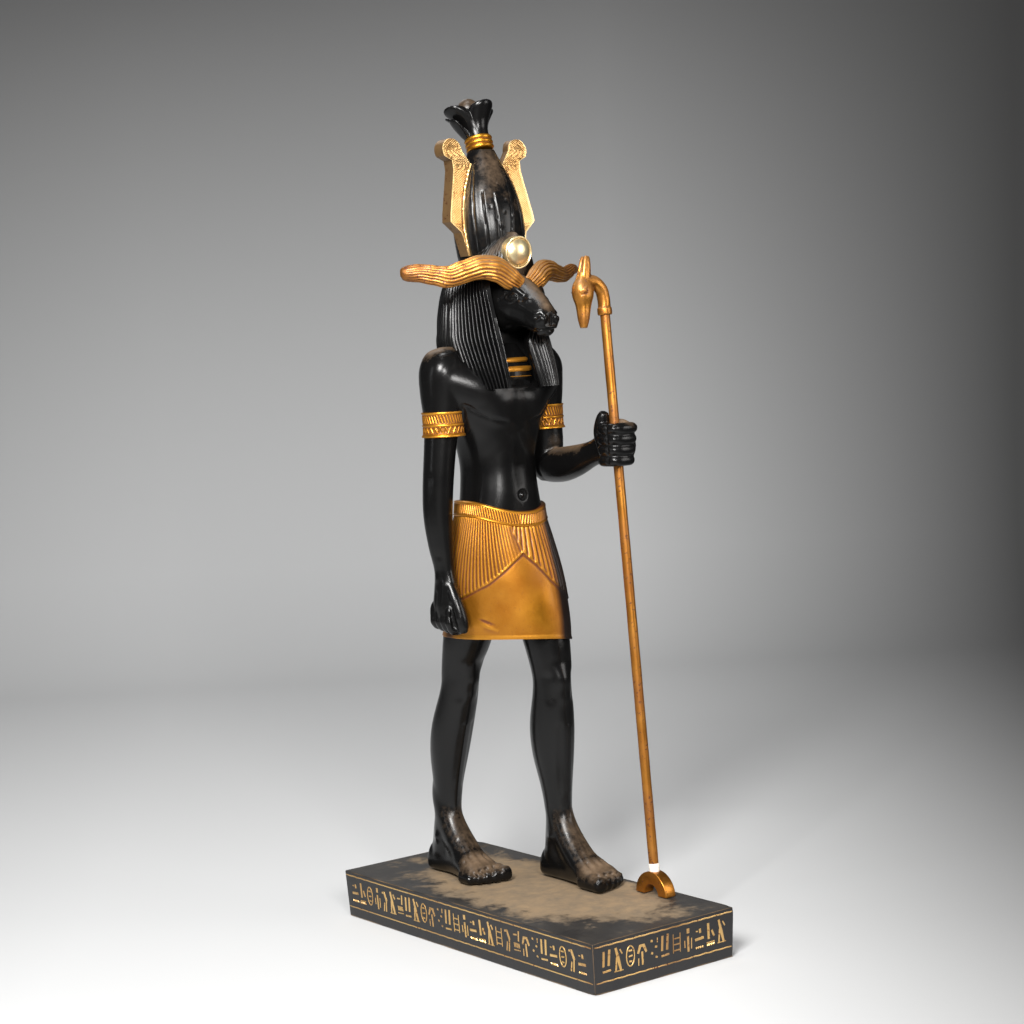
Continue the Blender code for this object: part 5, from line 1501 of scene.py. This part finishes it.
def mark_shapes(kind, t):
    """Strokes of one mark, t millimetres tall, as lines with widths: x across, y down."""
    wave = [(-2.7 + 0.6 * k, t * 0.95 + (0.4 if k % 2 else -0.4)) for k in range(10)]
    ring = [(2.5 * math.cos(a), t * 0.5 + t * 0.42 * math.sin(a)) for a in np.linspace(0, 2 * math.pi, 19)]
    base = ([(-2.6, t * 0.86), (2.6, t * 0.84)], 0.9)
    shapes = {
        "staff": [([(0, 0.2), (0.1, t * 0.22)], 2.6), ([(0, t * 0.34), (0.2, t)], 1.9),
                  ([(-2.2, t * 0.5), (-2.0, t * 0.8)], 1.0), ([(2.3, t * 0.45), (2.2, t * 0.9)], 0.9)],
        "steps": [([(-2.8, t * 0.60), (2.8, t * 0.57)], 2.0), ([(0.4, t * 0.16), (0.7, t * 0.34)], 2.0),
                  (wave, 0.6),
                  ([(-2.2, t * 0.24), (-1.0, t * 0.26)], 1.0)],
        "slant": [([(-1.8, 0), (-0.2, t * 0.5), (1.4, t)], 1.9), ([(-1.2, t * 0.4), (-1.8, t)], 1.5),
                  ([(0.8, t * 0.1), (2.2, t * 0.3)], 1.1), ([(-2.8, t * 0.98), (2.8, t * 0.98)], 0.8)],
        "waves": [(wave, 0.7), ([(-1.4, 0.3), (-1.1, t * 0.7)], 2.2),
                  ([(0.9, t * 0.35), (2.3, t * 0.62)], 1.7),
                  base],
        "hoop": [(ring, 0.7), ([(-1.2, t * 0.28), (1.0, t * 0.28)], 1.3),
                 ([(-1.1, t * 0.52), (1.2, t * 0.5)], 1.1),
                 ([(-0.9, t * 0.72), (0.9, t * 0.74)], 1.2)],
        "pair": [([(-1.7, 0.4), (-2.1, t * 0.66)], 2.0), ([(1.7, 0), (1.1, t * 0.66)], 2.1),
                 ([(-2.6, t * 0.88), (2.4, t * 0.86)], 1.5)],
        "comb": [base] + [([(-2.3 + k, t * 0.54), (-1.9 + k, t * 0.74)], 0.7) for k in range(5)]
                + [([(2.0, 0), (1.4, t * 0.44)], 1.6), ([(-2.4, t * 0.2), (0.4, t * 0.18)], 1.3)],
        "bow": [([(-2.6, t * 0.5), (-1.2, t * 0.2), (1.0, t * 0.2), (2.6, t * 0.5)], 1.8),
                ([(0, t * 0.45), (0.3, t)], 1.7), ([(-2.2, t * 0.7), (-2.3, t)], 0.9)],
        "dots": [([(-1.9, t * 0.12), (-0.7, t * 0.14)], 1.7), ([(0.7, t * 0.4), (2.0, t * 0.42)], 1.6),
                 ([(-1.7, t * 0.62), (-0.6, t * 0.66)], 1.7), ([(1.0, t * 0.82), (2.2, t * 0.86)], 1.4),
                 ([(2.4, t * 0.05), (2.3, t * 0.24)], 0.9)],
        "block": [([(-2.2, t * 0.1), (-2.2, t * 0.9)], 0.8), ([(2.2, t * 0.1), (2.2, t * 0.9)], 0.8),
                  ([(-2.4, t * 0.3), (2.4, t * 0.3)], 1.0), ([(-2.4, t * 0.55), (2.4, t * 0.55)], 1.0),
                  ([(-2.4, t * 0.8), (2.4, t * 0.8)], 1.1)],
        "stoop": [([(-2.4, t * 0.16), (-0.4, t * 0.12)], 1.6), ([(-0.6, t * 0.1), (1.4, t * 0.5)], 2.2),
                  ([(1.2, t * 0.5), (0.4, t)], 1.5), ([(-0.6, t * 0.6), (-1.6, t)], 1.3)],
    }
    return shapes[kind]


MARK_ORDER = ("steps", "waves", "hoop", "staff", "stoop", "slant", "comb", "pair", "slant", "hoop", "bow",
              "dots",
              "pair", "block", "staff", "steps", "waves", "slant", "block", "stoop", "comb", "bow", "dots",
              "pair",
              "steps", "hoop", "stoop")
BORDER_HIGH, BORDER_LOW = 0.0021, 0.0196
MARK_TOP, MARK_TALL, MARK_PITCH = 4.5, 11.8, 7.3


def make_inscription():
    """Rows of shallow gilded strokes round the plinth, and the two lines that border them."""
    bodies = []
    for side, first in (("right_hand", 0), ("front", 7), ("left_hand", 11), ("back", 3)):
        place = side_frame(side)
        half = place[4]
        for depth, width in ((BORDER_HIGH, 0.00075), (BORDER_LOW, 0.0007)):
            steps = np.linspace(-half + 0.0012 + depth * 0.043, half - 0.0012 - depth * 0.043, 60)
            line = [(s, depth + 0.00010 * math.sin(s * 900 + first)) for s in steps]
            bodies.append(bar(place, line, width, 0.00014, 0.0003))
        count = int((2 * half - 0.006) / (MARK_PITCH * 0.001))
        for number in range(count):
            centre = (number - (count - 1) / 2) * MARK_PITCH
            for line, width in mark_shapes(MARK_ORDER[(number + first) % len(MARK_ORDER)], MARK_TALL):
                moved = [((centre + x) * 0.001, (MARK_TOP + y) * 0.001) for x, y in line]
                bodies.append(bar(place, moved, width * 0.001, bpy.context.scene.figurine_sizes.strokes))
    piece = piece_from("inscription_strokes", bodies, False)
    points = corners_of(piece)
    fade = np.abs(np.sin(points[:, 0] * 61 + points[:, 1] * 47)) ** 3
    mark(piece, "patina", np.where(points[:, 1] < -0.1, 0.25, 0.0) + 0.55 * fade)
    finish_piece(piece, "plinth", "pale", 30)


def make_plinth():
    """The cast block: softened, chipped edges and a slightly uneven top."""
    bpy.ops.object.select_all(action="DESELECT")
    size = PLINTH_HIGH - PLINTH_LOW
    bpy.ops.mesh.primitive_cube_add(size=1.0, location=(0, 0, PLINTH_HIGH.z / 2))
    piece = bpy.context.object
    piece.name = piece.data.name = "plinth_block"
    piece.scale = size
    bpy.ops.object.transform_apply(location=True, rotation=True, scale=True)
    bpy.ops.object.mode_set(mode="EDIT")
    bpy.ops.mesh.select_all(action="DESELECT")
    edit = bmesh.from_edit_mesh(piece.data)
    for face in edit.faces:
        face.select_set(face.normal.z < -0.5)
    bmesh.update_edit_mesh(piece.data)
    bpy.ops.transform.resize(value=(1 - 2 * PLINTH_DRAFT / size.x, 1 - 2 * PLINTH_DRAFT / size.y, 1))
    bpy.ops.mesh.select_all(action="SELECT")
    bpy.ops.mesh.bevel(offset=PLINTH_CORNER, segments=3, profile=0.6, affect="EDGES")
    bpy.ops.mesh.select_all(action="SELECT")
    bpy.ops.mesh.subdivide(number_cuts=PLINTH_CUTS)
    bpy.ops.object.mode_set(mode="OBJECT")
    points = corners_of(piece)
    normal = normals_of(piece)
    x, y, z = points.T
    swell = 0.00012 * (np.sin(x * 130 + 1) * np.sin(y * 90) + np.sin(y * 210 + x * 60) * 0.5)
    push = np.where(normal[:, 2] > 0.9, swell - 0.00012, -0.00003 + swell * 0.25)
    for middle, radius, depth in PLINTH_CHIPS:
        away = np.linalg.norm(points - np.array(middle), axis=1)
        push -= depth * np.exp(-(away / radius) ** 2)
    set_corners(piece, points + normal * push[:, None])
    edge_x, edge_y = PLINTH_HIGH.x - np.abs(x), PLINTH_HIGH.y - np.abs(y)
    # Gold rubbed on the rounded edges, also standing in for painted glints.
    rounded = (np.abs(normal).max(1) < 0.985)
    mark(piece, "wear", rounded * np.clip(0.35 + 0.65 * np.sin(x * 300 + y * 170) * np.sin(y * 95 + z * 400),
                                          0, 1))
    middle = np.exp(-((x - 0.006) / 0.034) ** 2 - ((y + 0.002) / 0.066) ** 2)
    mark(piece, "dust", middle * np.clip(np.minimum(edge_x, edge_y) / 0.006, 0, 1) + 0.15)
    finish_piece(piece, "plinth", "slate", 30)


# Studio

CAMERA_PLACE = Vector((-0.6566, -0.8829, 0.3068))
CAMERA_TARGET = Vector((0.0022, 0.0, 0.2213))
CAMERA_ROLL = math.radians(-3.12)
CAMERA_LENS, CAMERA_SENSOR = 75.59, 36.0


WORLD_COLOUR, WORLD_STRENGTH = (0.85, 0.88, 0.92, 1), 0.10
LIGHT_TARGET = Vector((0.0, 0.0, 0.24))
LIGHTS = (
    # name, place, width and height in metres, watts, colour
    ("key_light", (-1.00, -0.78, 1.05), (0.44, 0.52), 46.0, (1.0, 0.99, 0.97)),
    ("near_light", (-0.56, -1.12, 0.64), (0.32, 0.32), 13.0, (1.0, 0.98, 0.96)),
    ("front_light", (0.66, -1.02, 0.50), (0.50, 0.60), 4.8, (1.0, 0.97, 0.94)),
    ("top_light", (-0.20, -0.05, 1.50), (0.40, 0.40), 6.0, (1.0, 1.0, 1.0)),
    ("side_light", (-1.25, 0.25, 0.60), (0.14, 0.80), 1.0, (0.96, 0.98, 1.0)),
    ("back_light", (0.3, 1.1, 1.3), (0.8, 0.5), 3.0, (1.0, 1.0, 1.0)),
)
SWEEP_TURN = math.radians(-36.7)
SWEEP_HALF, SWEEP_FRONT, SWEEP_BACK, SWEEP_BEND, SWEEP_TALL, SWEEP_STEPS = 3.0, -3.0, 0.9, 0.7, 3.2, 24


def painted_light_paper():
    """The floor's paper with a painted pool of light: pale in the middle, with painted shade darker to the
    right, far up and near the camera.
    """
    paper = Finish("studio_paper", Roughness=0.8)
    across, away = [paper.node("VectorMath", {"operation": "DOT_PRODUCT"}, "Value", i0=paper.place, i1=way)
                    for way in ((0.802, -0.598, 0), (0.598, 0.802, 0))]
    high = paper.node("SeparateXYZ", {}, "Z", Vector=paper.place)
    spread = across * (0.9 - (away * 0.25).held())
    # The darkening to the right also paints the figure's soft shadow.
    right = 1.0 - ((spread - 0.07) * 3.9).held() * 0.93
    left = 1.0 - ((0.0 - spread - 0.22) * 1.3).held() * 0.6
    top = 1.0 - ((high - 0.08) * 1.35).held() * 0.87
    front = 1.0 - ((0.0 - away - 0.18) * 3.0).held() * 0.85
    paper.set("Base Color", paper.blend(right * left * top * front, colour_of("shade"), colour_of("floor")))
    return paper.material


def make_sweep():
    """A floor that bends up into a wall behind the figurine."""
    profile = [(SWEEP_FRONT, 0.0), (SWEEP_BACK, 0.0)]
    profile += [(SWEEP_BACK + SWEEP_BEND * math.sin(a), SWEEP_BEND * (1 - math.cos(a)))
                for a in np.linspace(0, math.pi / 2, SWEEP_STEPS)[1:]]
    profile.append((SWEEP_BACK + SWEEP_BEND, SWEEP_TALL))
    turned = Matrix.Rotation(SWEEP_TURN, 4, "Z")
    corners = [tuple(turned @ Vector((side * SWEEP_HALF, y, z))) for y, z in profile for side in (-1, 1)]
    faces = [[2 * i, 2 * i + 1, 2 * i + 3, 2 * i + 2] for i in range(len(profile) - 1)]
    sweep = piece_from("studio_sweep", [(corners, faces)], False)
    sweep.data.materials.append(painted_light_paper())
    activate(sweep)
    bpy.ops.object.shade_smooth()


def stand(name, data, place):
    """A light or camera as an object at its place."""
    holder = bpy.data.objects.new(name, data)
    bpy.context.scene.collection.objects.link(holder)
    holder.location = place
    return holder


def make_lights():
    """The dim world and the rectangular lights."""
    world = bpy.data.worlds.new("studio")
    bpy.context.scene.world = world
    world.use_nodes = True
    background = world.node_tree.nodes["Background"]
    background.inputs["Color"].default_value = WORLD_COLOUR
    background.inputs["Strength"].default_value = WORLD_STRENGTH
    bpy.context.scene.view_settings.view_transform = "Standard"
    for name, place, size, power, tint in LIGHTS:
        light = bpy.data.lights.new(name, "AREA")
        light.shape = "RECTANGLE"
        light.size, light.size_y = size
        light.energy = power
        light.color = tint
        holder = stand(name, light, place)
        holder.rotation_euler = (LIGHT_TARGET - Vector(place)).to_track_quat("-Z", "Y").to_euler()


def make_camera():
    """The camera, level with the middle of the figure and slightly rolled."""
    camera = bpy.data.cameras.new("camera")
    camera.lens, camera.sensor_width = CAMERA_LENS, CAMERA_SENSOR
    camera.clip_start = 0.01
    holder = stand("camera", camera, CAMERA_PLACE)
    aim = (CAMERA_TARGET - CAMERA_PLACE).to_track_quat("-Z", "Y").to_matrix()
    holder.rotation_euler = (aim @ Matrix.Rotation(CAMERA_ROLL, 3, "Z")).to_euler()
    bpy.context.scene.camera = holder


# Settings, operators and panel

def height(name, description, units):
    """A setting for the height of relief, from the figure's units to metres."""
    return FloatProperty(name=name, description=description, default=units * UNIT, min=0.0, max=0.003,
                         precision=5, subtype="DISTANCE", unit="LENGTH")


class FigurineSizes(bpy.types.PropertyGroup):
    """Sizes of the relief that is finer than the solids."""
    pleats: height("Pleats", "Height of the kilt's pleats", 0.62)
    ticks: height("Belt ticks", "Height of the slanted ticks on the belt", 0.50)
    band_strokes: height("Armband strokes", "Height of the strokes and zigzags on the armbands", 0.34)
    locks: height("Locks", "Depth of the lines in the hair above the brow", 0.42)
    horn_ridges: height("Horn ridges", "Height of the ridges along the horns", 0.52)
    barbs: height("Barbs", "Height of the slanted barbs on the plumes", 0.30)
    strokes: FloatProperty(name="Inscription", description="Height of the strokes on the plinth's sides",
                           default=0.00022, min=0.0, max=0.001, precision=5, subtype="DISTANCE",
                           unit="LENGTH")
    strands: IntProperty(name="Wig strands", description="Number of strands round the wig", default=62,
                         min=8,
                         max=120)


def colour(name, description, default):
    """A setting for a colour."""
    return FloatVectorProperty(name=name, description=description, default=default, subtype="COLOR", size=3,
                               min=0.0, max=1.0)


class FigurineColours(bpy.types.PropertyGroup):
    """Colours of the casting, its paint and its dust."""
    black: colour("Black", "Satin black of the casting", (0.0016, 0.0016, 0.0018))
    worn_black: colour("Worn black", "Black where handling has greyed it", (0.0038, 0.0036, 0.0034))
    dust: colour("Dust", "Brown dust on the shoulders and feet", (0.135, 0.088, 0.052))
    gold_bright: colour("Bright gold", "Gold paint on ridges", (0.68, 0.30, 0.026))
    gold_mid: colour("Gold", "Gold paint on open faces", (0.37, 0.124, 0.004))
    gold_deep: colour("Deep gold", "Brown left in hollows", (0.120, 0.032, 0.006))
    # Plume gold is a lighter copy of the gold, with painted sheen in its colour.
    plume_mid: colour("Plume gold", "Faces of the plumes", (0.50, 0.205, 0.030))
    # The disc's colours are a lighter copy of the gold: painted sheen.
    disc_sheen_bright: colour("Bright fresh gold", "Ridges of the disc", (1.0, 0.82, 0.48))
    disc_sheen_mid: colour("Fresh gold", "Face of the disc", (0.92, 0.62, 0.25))
    red_bright: colour("Bright red gold", "Red gold on ridges", (0.60, 0.27, 0.048))
    red_mid: colour("Red gold", "Red gold on open faces", (0.31, 0.108, 0.010))
    red_deep: colour("Deep red gold", "Red brown left in hollows", (0.100, 0.027, 0.007))
    pale_bright: colour("Bright inscription gold", "Gold of the strokes' ridges", (0.90, 0.62, 0.27))
    pale_mid: colour("Inscription gold", "Gold of the strokes", (0.66, 0.41, 0.14))
    slate: colour("Slate", "Dark sides of the plinth", (0.007, 0.007, 0.008))
    worn_slate: colour("Worn slate", "Lighter mottling of the plinth", (0.017, 0.016, 0.016))
    tan_dust: colour("Tan dust", "Dust in the middle of the plinth's top", (0.315, 0.210, 0.110))
    grey_dust: colour("Grey dust", "Dust near the plinth's edges", (0.085, 0.074, 0.060))
    # Gold rubbed on the edges, also a painted glint.
    edge_gold: colour("Edge gold", "Gold rubbed on the plinth's edges", (0.34, 0.20, 0.08))
    gold_dust: colour("Gold dust", "Brown dust on top of gilded parts", (0.205, 0.115, 0.050))
    bare_white: colour("Bare white", "Unpainted band at the rod's foot", (0.75, 0.72, 0.66))
    # Floor is the lit middle of the painted pool of light, and shade its painted shade.
    floor: colour("Floor", "Pale studio floor", (0.50, 0.505, 0.51))
    shade: colour("Shade", "Far corners of the studio sweep", (0.03, 0.03, 0.03))


class FIGURINE_OT_stage(bpy.types.Operator):
    """Lay the floor, hang the lights and set the camera"""
    bl_idname = "figurine.stage"
    bl_label = "Studio"
    bl_options = {"REGISTER", "UNDO"}

    def execute(self, context):
        make_sweep()
        make_lights()
        make_camera()
        return {"FINISHED"}


class FIGURINE_OT_base(bpy.types.Operator):
    """Make the plinth and its rows of strokes"""
    bl_idname = "figurine.base"
    bl_label = "Plinth"
    bl_options = {"REGISTER", "UNDO"}

    def execute(self, context):
        make_plinth()
        make_inscription()
        return {"FINISHED"}


class FIGURINE_OT_torso(bpy.types.Operator):
    """Make the chest, belly and shoulders"""
    bl_idname = "figurine.torso"
    bl_label = "Torso"
    bl_options = {"REGISTER", "UNDO"}

    def execute(self, context):
        make_torso()
        return {"FINISHED"}


class FIGURINE_OT_arms(bpy.types.Operator):
    """Make both arms with their fists"""
    bl_idname = "figurine.arms"
    bl_label = "Arms"
    bl_options = {"REGISTER", "UNDO"}

    def execute(self, context):
        make_right_arm()
        make_left_arm()
        return {"FINISHED"}


class FIGURINE_OT_legs(bpy.types.Operator):
    """Make both legs with their feet"""
    bl_idname = "figurine.legs"
    bl_label = "Legs"
    bl_options = {"REGISTER", "UNDO"}

    def execute(self, context):
        make_leg("right_leg", RIGHT_LEG, -1)
        make_leg("left_leg", LEFT_LEG, 1)
        return {"FINISHED"}


class FIGURINE_OT_kilt(bpy.types.Operator):
    """Make the pleated kilt"""
    bl_idname = "figurine.kilt"
    bl_label = "Kilt"
    bl_options = {"REGISTER", "UNDO"}

    def execute(self, context):
        make_kilt()
        return {"FINISHED"}


class FIGURINE_OT_bands(bpy.types.Operator):
    """Make the belt, the armbands and the collar"""
    bl_idname = "figurine.bands"
    bl_label = "Belt and bands"
    bl_options = {"REGISTER", "UNDO"}

    def execute(self, context):
        make_belt()
        make_armband("right_armband", -ARMBAND_X)
        make_armband("left_armband", ARMBAND_X)
        make_collar()
        return {"FINISHED"}


class FIGURINE_OT_head(bpy.types.Operator):
    """Make the ram's head"""
    bl_idname = "figurine.head"
    bl_label = "Ram's head"
    bl_options = {"REGISTER", "UNDO"}

    def execute(self, context):
        make_head()
        return {"FINISHED"}


class FIGURINE_OT_hair(bpy.types.Operator):
    """Make the wig and the hair above the brow"""
    bl_idname = "figurine.hair"
    bl_label = "Wig"
    bl_options = {"REGISTER", "UNDO"}

    def execute(self, context):
        make_wig()
        make_hair_cap()
        return {"FINISHED"}


class FIGURINE_OT_horns(bpy.types.Operator):
    """Make both wavy horns"""
    bl_idname = "figurine.horns"
    bl_label = "Horns"
    bl_options = {"REGISTER", "UNDO"}

    def execute(self, context):
        make_horn("right_horn", -1)
        make_horn("left_horn", 1)
        return {"FINISHED"}


class FIGURINE_OT_headdress(bpy.types.Operator):
    """Make the crown, plumes, disc, rings and flower"""
    bl_idname = "figurine.headdress"
    bl_label = "Headdress"
    bl_options = {"REGISTER", "UNDO"}

    def execute(self, context):
        make_crown()
        make_crown_rings()
        make_plume("right_plume", -1)
        make_plume("left_plume", 1)
        make_disc()
        make_finial()
        return {"FINISHED"}


class FIGURINE_OT_sceptre(bpy.types.Operator):
    """Make the rod, its foot and its head"""
    bl_idname = "figurine.sceptre"
    bl_label = "Sceptre"
    bl_options = {"REGISTER", "UNDO"}

    def execute(self, context):
        make_rod()
        make_fork()
        make_sceptre_head()
        return {"FINISHED"}


OPERATORS = (
    FIGURINE_OT_stage, FIGURINE_OT_base, FIGURINE_OT_torso, FIGURINE_OT_arms,
    FIGURINE_OT_legs, FIGURINE_OT_kilt, FIGURINE_OT_bands, FIGURINE_OT_head,
    FIGURINE_OT_hair, FIGURINE_OT_horns, FIGURINE_OT_headdress, FIGURINE_OT_sceptre,
)


class FIGURINE_PT_panel(bpy.types.Panel):
    """Lists the steps that make the figurine, and its sizes and colours."""
    bl_idname = "FIGURINE_PT_panel"
    bl_label = "Figurine"
    bl_space_type = "VIEW_3D"
    bl_region_type = "UI"
    bl_category = "Figurine"

    def draw(self, context):
        for kind in OPERATORS:
            self.layout.operator(kind.bl_idname)
        for group in (context.scene.figurine_sizes, context.scene.figurine_colours):
            for name in type(group).__annotations__:
                self.layout.prop(group, name)


CLASSES = (FigurineSizes, FigurineColours) + OPERATORS + (FIGURINE_PT_panel,)


def register():
    """Makes the settings, operators and panel known to Blender."""
    for kind in CLASSES:
        bpy.utils.register_class(kind)
    bpy.types.Scene.figurine_sizes = PointerProperty(type=FigurineSizes)
    bpy.types.Scene.figurine_colours = PointerProperty(type=FigurineColours)


def unregister():
    """Takes them away again."""
    del bpy.types.Scene.figurine_colours
    del bpy.types.Scene.figurine_sizes
    for kind in reversed(CLASSES):
        bpy.utils.unregister_class(kind)


def main():
    """Makes everything in order."""
    register()
    for kind in OPERATORS:
        getattr(bpy.ops.figurine, kind.bl_idname.split(".")[1])()


if __name__ == "__main__":
    main()
